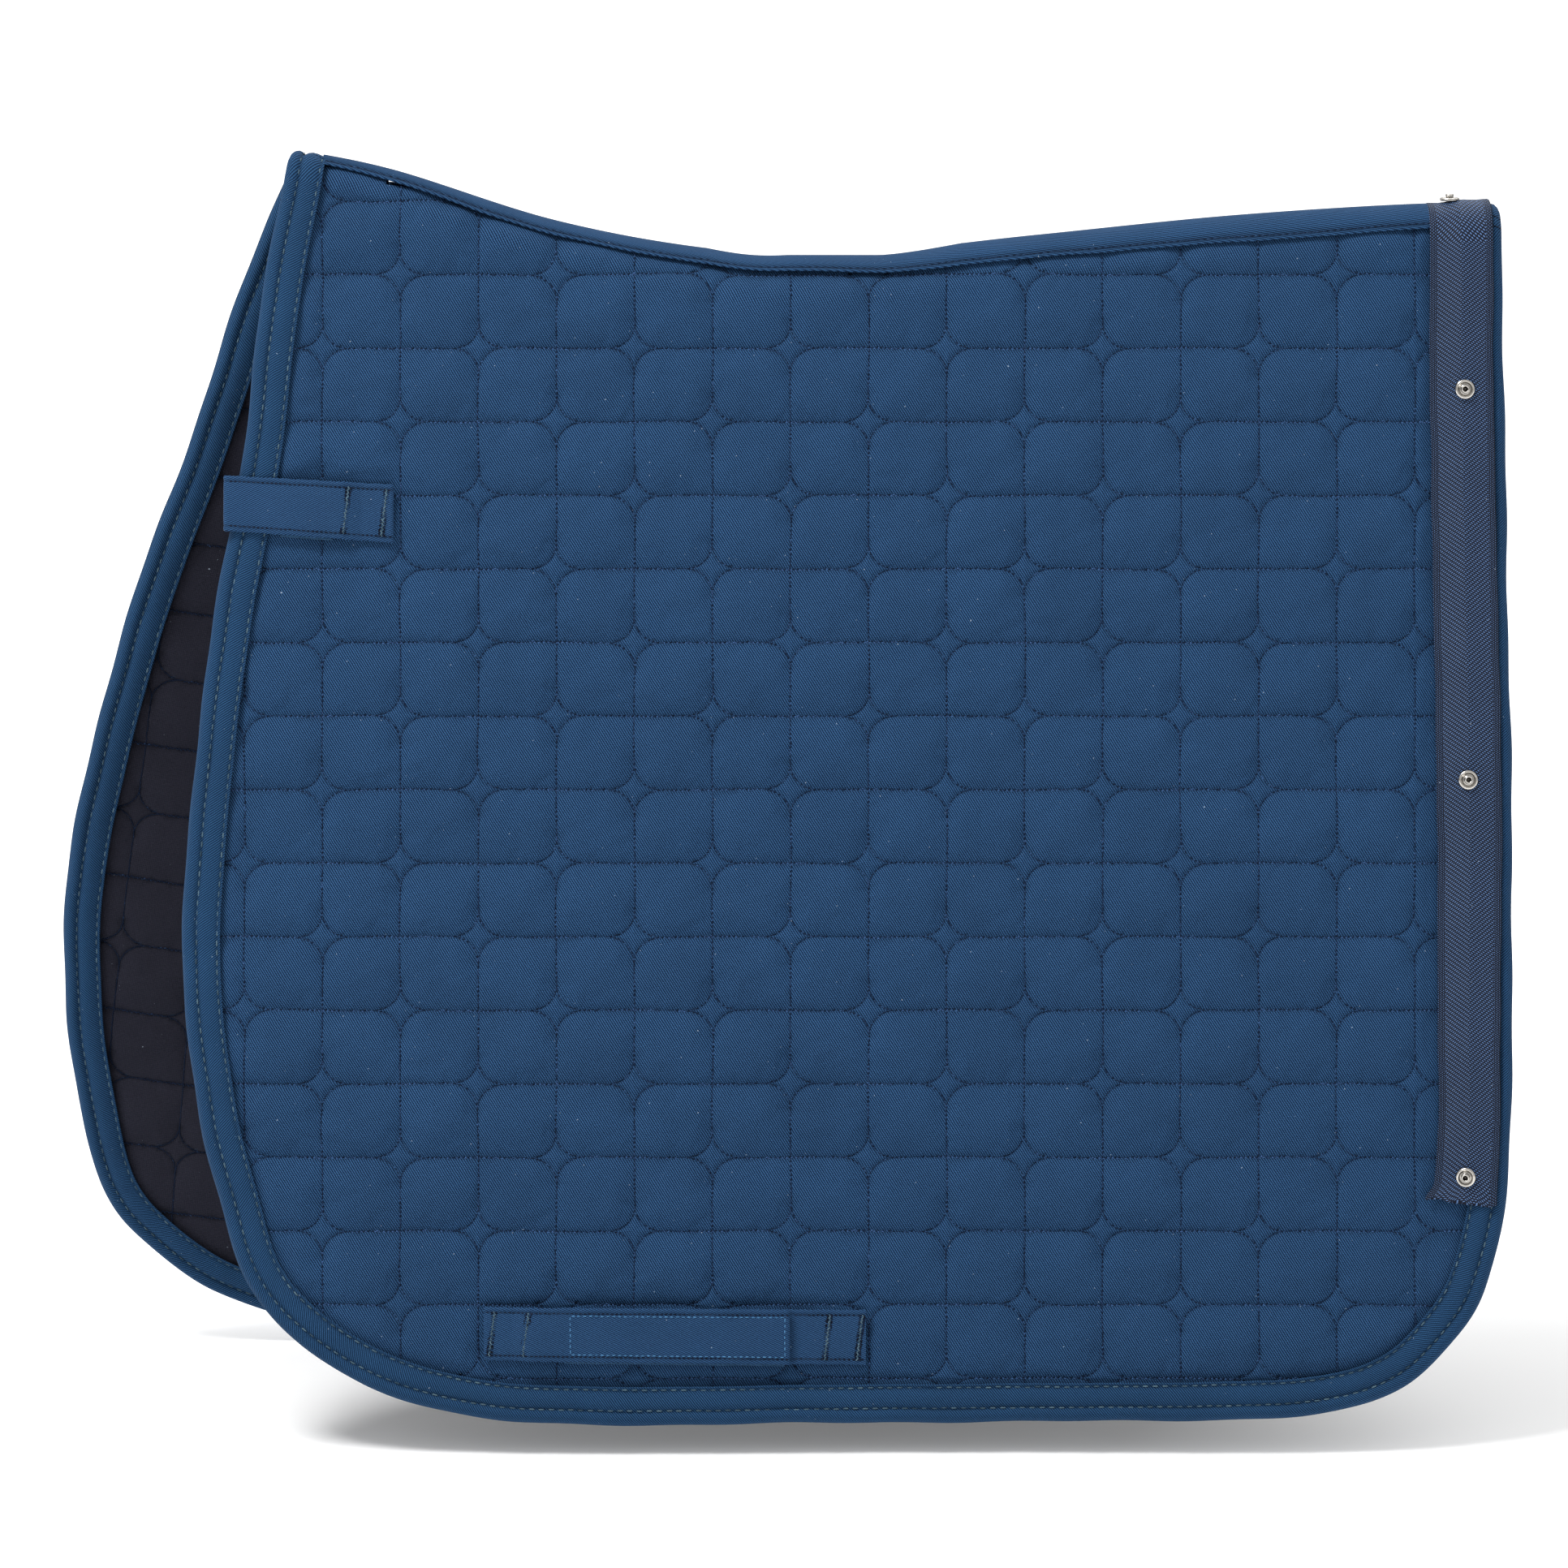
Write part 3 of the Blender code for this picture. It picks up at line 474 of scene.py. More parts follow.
HOOK_CLOTH = napped("hook_tape", (0.006, 0.016, 0.040), (0.035, 0.080, 0.160), 2.0, 0.0003)
LOOP_CLOTH = napped("loop_tape", (0.008, 0.028, 0.066), (0.045, 0.115, 0.225), 1.0, 0.0006)


# Stitches -----------------------------------------------------------------------------------------

# A stitch's outline: share of its length along it, and share of its full girth there.
SPINDLE = ((-0.5, 0.0), (-0.3, 1.0), (0.3, 1.0), (0.5, 0.0))
SPINDLE_SIDES = ((1, 0), (0, 1), (-1, 0), (0, -1))
STITCH_FLATNESS = 0.8


def stitch_mesh(name, centres, runs, ups, length, width, tones, material, slot):
    """One closed spindle for each stitch, lying along its run."""
    centres, runs, ups = (np.asarray(v, float) for v in (centres, runs, ups))
    runs = runs / np.linalg.norm(runs, axis=1)[:, None]
    sides = np.cross(ups, runs)
    sides /= np.linalg.norm(sides, axis=1)[:, None]
    ups = np.cross(runs, sides)
    count = len(centres)
    length, width = (np.broadcast_to(v, count)[:, None] for v in (length, width))
    tall = width * STITCH_FLATNESS
    corners, local = [], []
    for share, girth in SPINDLE:
        base = centres + runs * length * share - ups * tall * 0.3 * (girth == 0)
        for a, b in SPINDLE_SIDES if girth else SPINDLE_SIDES[:1]:
            corners.append(base + (sides * width * 0.5 * a + ups * tall * 0.5 * b) * girth)
            local.append((share * 0.003, a * girth * 0.0003))
    points = np.stack(corners, 1)
    size = len(corners)
    quads = [[1 + i, 1 + (i + 1) % 4, 5 + (i + 1) % 4, 5 + i] for i in range(4)]
    ends = [[0, 1 + (i + 1) % 4, 1 + i] for i in range(4)]
    ends += [[size - 1, 5 + i, 5 + (i + 1) % 4] for i in range(4)]
    starts = np.arange(count)[:, None, None] * size
    faces = []
    for shape in (quads, ends):
        faces += (np.array(shape)[None] + starts).reshape(-1, len(shape[0])).tolist()
    tone = np.repeat(np.broadcast_to(tones, count), size)
    cloth = np.tile(local, (count, 1))
    return make(name, points.reshape(-1, 3), faces, material, cloth=cloth, tone=tone)


def along_line(points, pitch):
    """Stations every pitch along a line of (along, drop) points: places and unit directions."""
    points = np.asarray(points, float)
    lengths = np.r_[0, np.cumsum(np.linalg.norm(np.diff(points, axis=0), axis=1))]
    count = max(1, int(round(lengths[-1] / pitch)))
    steps = (np.arange(count) + 0.5) * lengths[-1] / count

    def at(places):
        return np.stack([np.interp(places, lengths, points[:, k]) for k in (0, 1)], -1)

    spots = at(steps)
    run = at(steps + 1e-5) - at(steps - 1e-5)
    return spots, run / np.linalg.norm(run, axis=1)[:, None]


def along_lines(lines, pitch):
    """The places and directions of the stations on several lines, one after another."""
    spots, runs = zip(*(along_line(line, pitch) for line in lines))
    return np.vstack(spots), np.vstack(runs)


def stand_on(side, spots, runs, out):
    """Places, directions and normals in space of stitches given in flap coordinates."""
    step = 0.0004
    here = place(side, spots[:, 0], spots[:, 1], out)
    there = place(side, spots[:, 0] + runs[:, 0] * step, spots[:, 1] + runs[:, 1] * step, out)
    above = place(side, spots[:, 0], spots[:, 1], out + step)
    return here, there - here, above - here


def sew(name, side, spots, runs, out, size, tones, material, slot, facing=1):
    """Stitches of a given (length, width) at places in flap coordinates."""
    here, run, up = stand_on(side, spots, runs, out)
    return stitch_mesh(name, here, run, up * facing, *size, tones, material, slot)


# Quilted panels -----------------------------------------------------------------------------------


def line_shares():
    """Where the mesh lines of a cell lie, as shares of its side: closer together beside the seams."""
    half = np.array([0, 0.014, 0.042, 0.080, 0.120, 0.160, 0.200, 0.240, 0.290, 0.342, 0.395, 0.448, 0.5])
    return np.r_[half, 1 - half[-2::-1]]


def star_arc(count=25):
    """The quarter of a star's outline between its two arms, from the along arm to the drop arm."""
    t = np.linspace(0, math.pi / 2, count)
    return np.stack([STAR[0] * (1 - np.sin(t)), STAR[1] * (1 - np.cos(t))], -1)


def nearest(points, line):
    """Distance to a polyline, and the closest spot on it, for each point."""
    a, b = line[:-1], line[1:]
    ab = b - a
    share = np.clip(((points[:, None] - a) * ab).sum(-1) / (ab**2).sum(-1), 0, 1)
    spots = a + share[..., None] * ab
    gaps = np.linalg.norm(points[:, None] - spots, axis=-1)
    best = gaps.argmin(1)
    rows = np.arange(len(points))
    return gaps[rows, best], spots[rows, best]


def rows_rise(gap):
    """Share of the full puff at a distance from the row seams and star arcs."""
    dome = 1 - (1 - np.minimum(gap / DOME_REACH, 1)) ** 2
    return (1 - DOME_SHARE) * (1 - np.exp(-gap / ROW_REACH)) + DOME_SHARE * dome


# The cloth simulation that swells the sample cells.
SWELL = {
    "vertex_group_mass": "pins", "quality": 6, "mass": 0.15, "tension_stiffness": 12,
    "compression_stiffness": 12, "shear_stiffness": 6, "bending_stiffness": 0.05, "shrink_min": -0.035,
    "use_pressure": True, "uniform_pressure_force": 4.0,
}
SWELL_FRAMES, SWELL_CAP, SAMPLE_CELLS = 20, 0.004, 14
LUMP_SCALE = 260
STAR_REACH, SNAP_TO_STAR = 0.0016, 0.00085


class QuiltCell:
    """The mesh of one cell whose stars are at its first and last corners, with its seams sewn down."""

    def __init__(self):
        """Move mesh points on to the star arcs, and measure how far each one is from the seams."""
        shares = line_shares()
        size = np.array(CELL)
        grid = np.stack(np.meshgrid(shares * size[0], shares * size[1], indexing="ij"), -1)
        flat = grid.reshape(-1, 2)
        arc = star_arc()
        moved = flat.copy()
        self.inside_star = np.zeros(len(flat), bool)
        seams, columns = np.full(len(flat), np.inf), np.full(len(flat), np.inf)
        for corner, sign in ((np.zeros(2), 1), (size, -1)):
            local = (flat - corner) * sign
            gap, spot = nearest(local, arc)
            near = (gap < SNAP_TO_STAR) & (local.min(1) > 1e-6)
            moved[near] = corner + sign * spot[near]
            corner_side = 1 - local / STAR
            inside = (corner_side.min(1) > 0) & ((corner_side**2).sum(1) > 1)
            self.inside_star |= inside & ~near
            here = (moved - corner) * sign
            for line in (arc, np.array([[STAR[0], 0], [size[0], 0]])):
                seams = np.minimum(seams, nearest(here, line)[0])
            columns = np.minimum(columns, nearest(here, np.array([[0, STAR[1]], [0, size[1]]]))[0])
        self.flat, self.moved, self.seams = grid, moved.reshape(grid.shape), seams.reshape(grid.shape[:2])
        self.columns = columns.reshape(grid.shape[:2])
        self.inside_star = self.inside_star.reshape(grid.shape[:2])
        self.sewn = np.minimum(self.seams, self.columns) < 1e-5

    def puffed(self):
        """Height of each mesh point, from 0 at the seams to about 1 in the middle of the cell."""
        rise = rows_rise(self.seams) * (1 - (1 - COLUMN_LIFT) * np.exp(-self.columns / COLUMN_REACH))
        star = STAR_PUFF / PUFF * (1 - np.exp(-self.seams / STAR_REACH))
        return np.where(self.inside_star, star, rise)

    def sheets(self, count):
        """Points, faces and pinned points of count copies of the cell, each a little differently filled."""
        n = len(self.flat)
        points, faces, pinned = [], [], []
        lumps = np.random.default_rng(5)
        i, j = np.meshgrid(np.arange(n - 1), np.arange(n - 1), indexing="ij")
        for c in range(count):
            lump = 0
            for _ in range(4):
                lump = lump + lumps.normal() * np.sin(
                    self.flat @ lumps.normal(size=2) * LUMP_SCALE + lumps.uniform(0, 6)
                )
            z = self.puffed() * PUFF * (0.75 + 0.05 * lump)
            points += np.concatenate([self.moved + [c * 0.05, 0], z[..., None]], -1).reshape(-1, 3).tolist()
            a = c * n * n + i * n + j
            faces += np.stack([a, a + n, a + n + 1, a + 1], -1).reshape(-1, 4).tolist()
            pinned += (c * n * n + np.flatnonzero(self.sewn | self.inside_star)).tolist()
        return points, faces, pinned

    def simulated(self, count):
        """Cells swollen by cloth simulation, as offsets (along, drop, height) for each of count cells."""
        points, faces, pinned = self.sheets(count)
        mesh = bpy.data.meshes.new("swelling_cells")
        mesh.from_pydata(points, [], faces)
        cloth = bpy.data.objects.new("swelling_cells", mesh)
        bpy.context.scene.collection.objects.link(cloth)
        cloth.vertex_groups.new(name="pins").add(pinned, 1.0, "REPLACE")
        sim = cloth.modifiers.new("swell", "CLOTH")
        for name, value in SWELL.items():
            setattr(sim.settings, name, value)
        sim.settings.effector_weights.gravity = 0.0
        sim.collision_settings.use_collision = False
        scene = bpy.context.scene
        scene.frame_start, scene.frame_end = 1, SWELL_FRAMES
        sim.point_cache.frame_start, sim.point_cache.frame_end = 1, SWELL_FRAMES
        for number in range(1, SWELL_FRAMES + 1):
            scene.frame_set(number)
        settled = cloth.evaluated_get(bpy.context.evaluated_depsgraph_get())
        final = np.zeros(len(points) * 3)
        settled.data.vertices.foreach_get("co", final)
        scene.frame_set(1)
        bpy.data.objects.remove(cloth)
        moved = (final.reshape(-1, 3) - np.array(points)).reshape(count, *self.flat.shape[:2], 3)
        length = np.linalg.norm(moved, axis=-1, keepdims=True)
        return moved * np.minimum(1, SWELL_CAP / np.maximum(length, 1e-9))


def cell_shapes():
    """Offsets of each cell shape from its flat mesh: along, drop and height."""
    cell = QuiltCell()
    base = np.concatenate([cell.moved - cell.flat, (cell.puffed() * PUFF)[..., None]], -1)
    moved = cell.simulated(SAMPLE_CELLS)
    swollen = base[None] + moved
    middle = len(cell.flat) // 2
    print("cloth cells moved by at most", round(float(np.abs(moved).max()) * 1000, 3), "mm")
    excess = swollen[..., 2] / np.maximum(swollen[:, middle, middle, 2].mean(), 1e-6) * PUFF
    swollen[..., 2] = np.where(cell.inside_star, base[..., 2], 0.5 * base[..., 2] + 0.5 * excess)
    swollen[..., :2] = base[..., :2] + np.clip(moved[..., :2], -0.0006, 0.0006)
    return cell, swollen


CELL_MESH, CELL_SHAPES = cell_shapes()


def sewn_wobble(along, drop):
    """How far sewn lines stray from straight."""
    return 0.0004 * wander(along, drop, 3), 0.0004 * wander(drop, along, 8)


def puff_growth(along, drop):
    """How much fuller or flatter than usual the padding is at a place."""
    return 1 + 0.14 * wander(along * 0.35, drop * 0.35, 6)


def quilt_grid(seed, puff_scale):
    """The mesh points of a whole quilted sheet: along, drop, and height above the seams."""
    picks = np.random.default_rng(seed)
    n = LINES_PER_CELL
    columns, rows = CELL_COLUMNS[1] - CELL_COLUMNS[0], CELL_ROWS[1] - CELL_ROWS[0]
    along = np.zeros((columns * n + 1, rows * n + 1))
    drop, high = np.zeros_like(along), np.zeros_like(along)
    for i in range(columns):
        for j in range(rows):
            shape = CELL_SHAPES[picks.integers(len(CELL_SHAPES))]
            flat = CELL_MESH.flat
            if picks.random() < 0.5:
                shape = shape[::-1, ::-1] * [-1, -1, 1]
            ci, cj = i + CELL_COLUMNS[0], j + CELL_ROWS[0]
            mirrored = (ci + cj) % 2 != 0
            offset = shape[::-1] * [-1, 1, 1] if mirrored else shape
            block = (slice(i * n, i * n + n + 1), slice(j * n, j * n + n + 1))
            along[block] = CELL_ORIGIN[0] + ci * CELL[0] + flat[..., 0] + offset[..., 0]
            drop[block] = CELL_ORIGIN[1] + cj * CELL[1] + flat[..., 1] + offset[..., 1]
            high[block] = offset[..., 2]
    high *= puff_growth(along, drop) * puff_scale
    da, dd = sewn_wobble(along, drop)
    return along + da, drop + dd, high


def inset(points):
    """How far inside a flap's edge each (along, drop) point is; negative outside."""
    curve = np.vstack([[EDGE_CURVE[0, 0] + 0.002, -0.075], EDGE_CURVE, [EDGE_CURVE[-1, 0], -0.075]])[::2]
    gap = np.concatenate([nearest(part, curve)[0] for part in np.array_split(points, 40)])
    x, y = points[:, 0], points[:, 1]
    inside = np.zeros(len(points), bool)
    ring = np.vstack([curve, curve[:1]])
    for (x0, y0), (x1, y1) in zip(ring[:-1], ring[1:]):
        if y0 == y1:
            continue
        crosses = ((y0 > y) != (y1 > y)) & (x < (x1 - x0) * (y - y0) / (y1 - y0) + x0)
        inside ^= crosses
    return np.where(inside, gap, -gap)


# The spine band: how far its section comes down, its turned lip, and its (along, reach) as in the photograph.
BAND_EDGE, BAND_LIP = 0.0156, 0.0024
BAND_RUN = (
    (-0.2400, 0.0058), (-0.2273, 0.0066), (-0.2007, 0.0077), (-0.1627, 0.0100), (-0.0867, 0.0117),
    (-0.0107, 0.0125), (0.0653, 0.0151), (0.1413, 0.0157), (0.2173, 0.0163), (0.2667, 0.0148),
    (0.2934, 0.0146),
)


def band_reach(along):
    """How far the spine band comes down from the crest: least at the front, as in the photograph."""
    run = np.array(BAND_RUN)
    return np.interp(along, run[:, 0], run[:, 1])


def box_gap(along, drop, spec):
    """Distance outside a strap's rectangle, negative inside it."""
    top, bottom = min(spec["top"]), max(spec["bottom"])
    first, last = spec["ends"]
    across = np.abs(along - (first + last) / 2) - (last - first) / 2
    down = np.abs(drop - (top + bottom) / 2) - (bottom - top) / 2
    return np.maximum(across, down)


def coarse_inset(along, drop, every=6):
    """inset() of a grid of points, worked out at every few points and filled in between."""
    ca, cd = along[::every, ::every], drop[::every, ::every]
    rim = inset(np.stack([ca, cd], -1).reshape(-1, 2)).reshape(ca.shape)
    for count in along.shape[::-1]:
        steps = np.arange(count)
        rim = np.array([np.interp(steps, steps[::every], line) for line in rim]).T
    return rim


def press(keep, least, gap, reach):
    """Padding pressed down to a least share where the gap is nothing, and free of it past its reach."""
    return np.minimum(keep, least + (1 - least) * smoothstep(gap / reach))


RIM_PRESS, BAND_PRESS, LINING_TAPE_PRESS, WEBBING_PRESS, STRAP_PRESS = 0.30, 0.40, 0.22, 0.30, 0.62
LINING_TAPE_REACH, WEBBING_FRONT, FREE_AFTER = 0.0095, 0.2790, 0.0085


def pressed(along, drop, direction):
    """How much of its puff the padding keeps beside and under the binding, the tapes and the straps."""
    keep = press(1.0, RIM_PRESS, coarse_inset(along, drop) - 0.0170, FREE_AFTER)
    tape, least = LINING_TAPE_REACH, LINING_TAPE_PRESS
    if direction > 0:
        tape, least = band_reach(along) - 0.0014, BAND_PRESS
    keep = press(keep, least, drop - fold(along)[3] - tape, FREE_AFTER)
    if direction > 0:
        keep = press(keep, WEBBING_PRESS, WEBBING_FRONT - along, 0.0070)
        for spec in (GIRTH, BILLET):
            keep = press(keep, STRAP_PRESS, box_gap(along, drop, spec) + 0.001, 0.006)
    return keep


# A sheet ends this far inside the flap's edge and this far below the crest, under the binding and the tapes.
SHEET_MARGIN, SHEET_TOP, CREST_CLEARANCE = 0.0085, 0.004, 0.0004
# How fast the painted shade in the quilting's seams fades as the puff rises.
SEAM_SHADE_RISE = 4.5


def quilted_sheet(name, side, seed, seam_out, back_out, direction, puff_scale, material):
    """A closed, quilted sheet: its sewn face in fine mesh, and a plain hidden back in coarse mesh."""
    along, drop, high = quilt_grid(seed, puff_scale)
    step = LINES_PER_CELL // BLOCKS_PER_CELL
    mid = slice(step // 2, None, step)
    ca, cd = along[mid, mid], drop[mid, mid]
    keep = inset(np.stack([ca, cd], -1).reshape(-1, 2)).reshape(ca.shape) > SHEET_MARGIN
    keep &= cd - fold(ca)[3] > SHEET_TOP
    drop = np.maximum(drop, fold(along)[3] + CREST_CLEARANCE)
    fine = np.repeat(np.repeat(keep, step, 0), step, 1)
    high = high * pressed(along, drop, direction)
    out = seam_out + direction * high
    face = place(side, along, drop, out).reshape(-1, 3)
    back = place(side, along, drop, np.full(along.shape, back_out)).reshape(-1, 3)
    index = np.arange(along.size).reshape(along.shape)

    def quads_of(cells, size):
        i, j = (place * size for place in np.nonzero(cells))
        corners = (index[i, j], index[i + size, j], index[i + size, j + size], index[i, j + size])
        return np.stack(corners, -1)

    quads, back_quads = quads_of(fine, 1), quads_of(keep, step)[:, [0, 3, 2, 1]]
    shift = along.size
    walls = []
    padded = np.pad(keep, 1)
    for x, y in zip(*np.nonzero(keep)):
        x0, y0 = x * step, y * step
        x1, y1 = x0 + step, y0 + step
        edges = (
            (padded[x + 1, y], index[x0 : x1 + 1, y0]),
            (padded[x + 2, y + 1], index[x1, y0 : y1 + 1]),
            (padded[x + 1, y + 2], index[x0 : x1 + 1, y1][::-1]),
            (padded[x, y + 1], index[x0, y0 : y1 + 1][::-1]),
        )
        for taken, run in edges:
            if not taken:
                walls.append([int(v) for v in run[::-1]] + [int(run[0]) + shift, int(run[-1]) + shift])
    points = np.vstack([face, back])
    faces = quads.tolist() + (back_quads + shift).tolist() + walls
    if (side == LEFT) == (direction > 0):
        faces = [f[::-1] for f in faces]
    used = np.unique(np.concatenate([quads.ravel(), (back_quads + shift).ravel()]))
    lookup = np.full(len(points), -1)
    lookup[used] = np.arange(len(used))
    faces = [[int(lookup[v]) for v in f] for f in faces]
    cloth = np.tile(np.stack([along, drop], -1).reshape(-1, 2), (2, 1))[used]
    # tone paints shade: darkest down in the seams, where the puff is lowest.
    tone = np.tile(np.clip(high / (PUFF * puff_scale) * SEAM_SHADE_RISE, 0, 1).ravel(), 2)[used]
    return make(name, points[used], faces, material, cloth=cloth, tone=tone)


def quilt_lines():
    """The sewn lines of the quilting: those along the rows, and the columns with the stars."""
    rows, columns = [], []
    for j in range(CELL_ROWS[0], CELL_ROWS[1] + 1):
        for i in range(CELL_COLUMNS[0], CELL_COLUMNS[1] + 1):
            x, y = CELL_ORIGIN[0] + i * CELL[0], CELL_ORIGIN[1] + j * CELL[1]
            star = (i + j) % 2 == 0
            a, b = (STAR[0] if star else 0.0), (0.0 if star else STAR[0])
            rows.append(np.array([[x + a, y], [x + CELL[0] - b, y]]))
            a, b = (STAR[1] if star else 0.0), (0.0 if star else STAR[1])
            columns.append(np.array([[x, y + a], [x, y + CELL[1] - b]]))
            if star:
                for sx in (-1, 1):
                    for sy in (-1, 1):
                        columns.append(np.array([x, y]) + star_arc() * [sx, sy])
    return rows, columns


def seam_lift(line, spots):
    """How high above the row seams a column's stitches lie; nothing for the other seams."""
    if len(line) > 2 or line[0, 0] != line[1, 0]:
        return np.zeros(len(spots))
    row = (spots[:, 1] - CELL_ORIGIN[1]) / CELL[1]
    column = round((line[0, 0] - CELL_ORIGIN[0]) / CELL[0])
    share = row - np.floor(row)
    star_above = (column + np.floor(row)) % 2 == 0
    from_star = np.where(star_above, share, 1 - share) * CELL[1]
    points = np.stack([np.zeros(len(spots)), from_star], -1)
    gap = np.minimum(nearest(points, star_arc())[0], CELL[1] - from_star)
    return PUFF * COLUMN_LIFT * rows_rise(gap)


# The quilting's stitches. Width is for (odd, even) stitches, and tone is the shade of the odd ones, lighter as
# a painted highlight on the twisted thread. A small share of stitches gets a painted glint of a high tone, and
# zigzag is how far the knots of the rows step and turn from side to side.
QUILT_PITCH, THREAD_LIFT = 0.00105, 0.00012
STITCH_KINDS = {
    "row": {"length": 0.00135, "width": (0.00070, 0.00070), "jitter": 0.00012, "turn": 0.25, "tone": 0.80,
            "spread": 0.26, "bright": (0.05, 3.2), "zigzag": (0.00055, 1.1)},
    "column": {"length": 0.00120, "width": (0.00050, 0.00058), "jitter": 0.00010, "turn": 0.12, "tone": 0.48,
               "spread": 0.2, "bright": (0.02, 2.6), "zigzag": (0, 0)},
}
# Stitches show this far inside a flap's edge, and this far below the crest on the lining.
STITCHES_FROM, LINING_STITCHES_FROM = 0.0165, 0.0145


def quilt_stitches(name, side, line_kind, lines, seam_out, direction, slot, puff_scale, dim, seed):
    """The stitches of one set of sewn lines that show inside the binding."""
    picks = np.random.default_rng(seed)
    kind = STITCH_KINDS[line_kind]
    stations = [along_line(line, QUILT_PITCH) for line in lines]
    spots, runs = (np.vstack(part) for part in zip(*stations))
    order = np.arange(len(spots))
    lifted = np.concatenate([seam_lift(line, s) for line, (s, _) in zip(lines, stations)])
    lifted = lifted * puff_growth(spots[:, 0], spots[:, 1]) * puff_scale
    taped = band_reach(spots[:, 0]) - 0.0011 if direction > 0 else LINING_STITCHES_FROM
    shown = (inset(spots) > STITCHES_FROM) & (spots[:, 1] - fold(spots[:, 0])[3] > taped)
    spots, runs, order, lifted = spots[shown], runs[shown], order[shown], lifted[shown]
    across = np.stack([-runs[:, 1], runs[:, 0]], -1)
    spots = spots + np.stack(sewn_wobble(spots[:, 0], spots[:, 1]), -1)
    odd, count = order % 2, len(spots)
    shift, lean = (amount * (odd - 0.5) for amount in kind["zigzag"])
    spots = spots + across * (shift + picks.normal(size=count) * kind["jitter"])[:, None]
    runs = runs + across * (lean + picks.normal(size=count) * kind["turn"])[:, None]
    # Odd stitches lighter and a few stitches far lighter still: painted highlights and glints on the thread.
    tones = np.clip(np.where(odd == 1, kind["tone"], 0.0) + picks.normal(size=count) * kind["spread"], 0, 1)
    share, bright = kind["bright"]
    tones = np.where(picks.random(count) < share, bright, tones)
    size = (kind["length"], np.where(odd == 1, *kind["width"]))
    out = seam_out + direction * (THREAD_LIFT + lifted)
    return sew(name, side, spots, runs, out, size, tones * dim, QUILT_THREAD, slot, direction)


# Binding, band and tapes --------------------------------------------------------------------------

# The binding's two rows of stitches, their heights on its cover and lining sides, and their pitch and size.
BINDING_STITCHES = (0.0070, 0.0167)
BINDING_LEVELS = ((0.0089, 1), (-0.0007, -1))
BINDING_PITCH, BINDING_STITCH_SIZE = 0.0046, (0.0030, 0.00070)
BINDING_SPACING = 0.0022

# Half of the binding's outer skin: (inward, out) from its nose to its lip, on the cover side, and its inside.
BINDING_SKIN = np.array([
    (0.0000, 0.0041), (0.0003, 0.0060), (0.0013, 0.0080), (0.0028, 0.0095), (0.0044, 0.0099),
    (0.0058, 0.0094), (0.0066, 0.0087), (0.0070, 0.0085), (0.0074, 0.0087), (0.0084, 0.0095),
    (0.0104, 0.0101), (0.0128, 0.0100), (0.0150, 0.0094), (0.0162, 0.0088), (0.0167, 0.0087),
    (0.0171, 0.0090), (0.0177, 0.0094), (0.0183, 0.0092), (0.0183, 0.0086),
])
BINDING_INSIDE = np.array([
    (0.0178, 0.0083), (0.0100, 0.0083), (0.0040, 0.0083), (0.0018, 0.0064), (0.0012, 0.0041),
])


def edge_binding(label, side):
    """The corded, twin-stitched binding round a flap, with its lining side the mirror of its cover side."""
    steps, path, inward = edge_path(BINDING_SPACING)
    mirrored = [half[::-1] * [1, -1] + [0, THICKNESS] for half in (BINDING_SKIN, BINDING_INSIDE)]
    skin_below, inside_below = mirrored
    profile = np.vstack([BINDING_SKIN, BINDING_INSIDE, inside_below[1:], skin_below[:-1]])
    ring = len(profile)
    picks = np.random.default_rng(21 + side)
    bumps = np.interp(steps, steps[::4], picks.normal(size=len(steps[::4])))
    swell = 1 + 0.035 * bumps[:, None] * (profile[:, 1] > THICKNESS) + 0.02 * np.sin(steps * 260)[:, None]
    out = MIDDLE + (profile[None, :, 1] - MIDDLE) * swell
    sway = 0.00035 * np.sin(steps * 47 + 1.0) + 0.00025 * np.sin(steps * 119 + side)
    a = profile[None, :, 0] + np.where(profile[:, 0] < 0.012, 1.0, 0.4)[None] * sway[:, None]
    along = path[:, :1] + inward[:, :1] * a
    drop = path[:, 1:] + inward[:, 1:] * a
    points = place(side, along, drop, out).reshape(-1, 3)
    around = np.r_[0, np.cumsum(np.linalg.norm(np.diff(profile, axis=0), axis=1))]
    cloth = np.stack([np.repeat(steps, ring), np.tile(around, len(steps))], -1)
    # Painted shade: the binding darker along its two stitched grooves.
    grooves = np.min([np.abs(profile[:, 0] - s) for s in BINDING_STITCHES], 0)
    tone = np.tile(np.clip(0.25 + grooves / 0.0018, 0, 1), len(steps))
    piece = make(f"{label}_bound_edge", points, ring_faces(len(steps), ring), BINDING_TWILL,
                 cloth=cloth, tone=tone)
    fix_normals(piece)
    nodes = [f"{label}_edge_binding", f"{label}_piping_cord"]
    on_flap(piece, label, side, *nodes, "front_binding_crossover", "rear_binding_crossover")
    spots, runs, levels, signs = [], [], [], []
    for line in BINDING_STITCHES:
        for level, sign in BINDING_LEVELS:
            s, r = along_line(path + inward * line, BINDING_PITCH)
            spots.append(s + picks.normal(size=s.shape) * 0.00008)
            runs.append(r)
            levels.append(np.full(len(s), level))
            signs.append(np.full((len(s), 1), sign))
    spots, runs, levels, signs = np.vstack(spots), np.vstack(runs), np.concatenate(levels), np.vstack(signs)
    tones = np.clip(0.62 + picks.normal(size=len(spots)) * 0.16, 0, 1)
    stitched = sew(f"{label}_binding_stitching", side, spots, runs, levels, BINDING_STITCH_SIZE, tones,
                   BINDING_THREAD, "binding_twill", signs)
    on_flap(stitched, label, side)


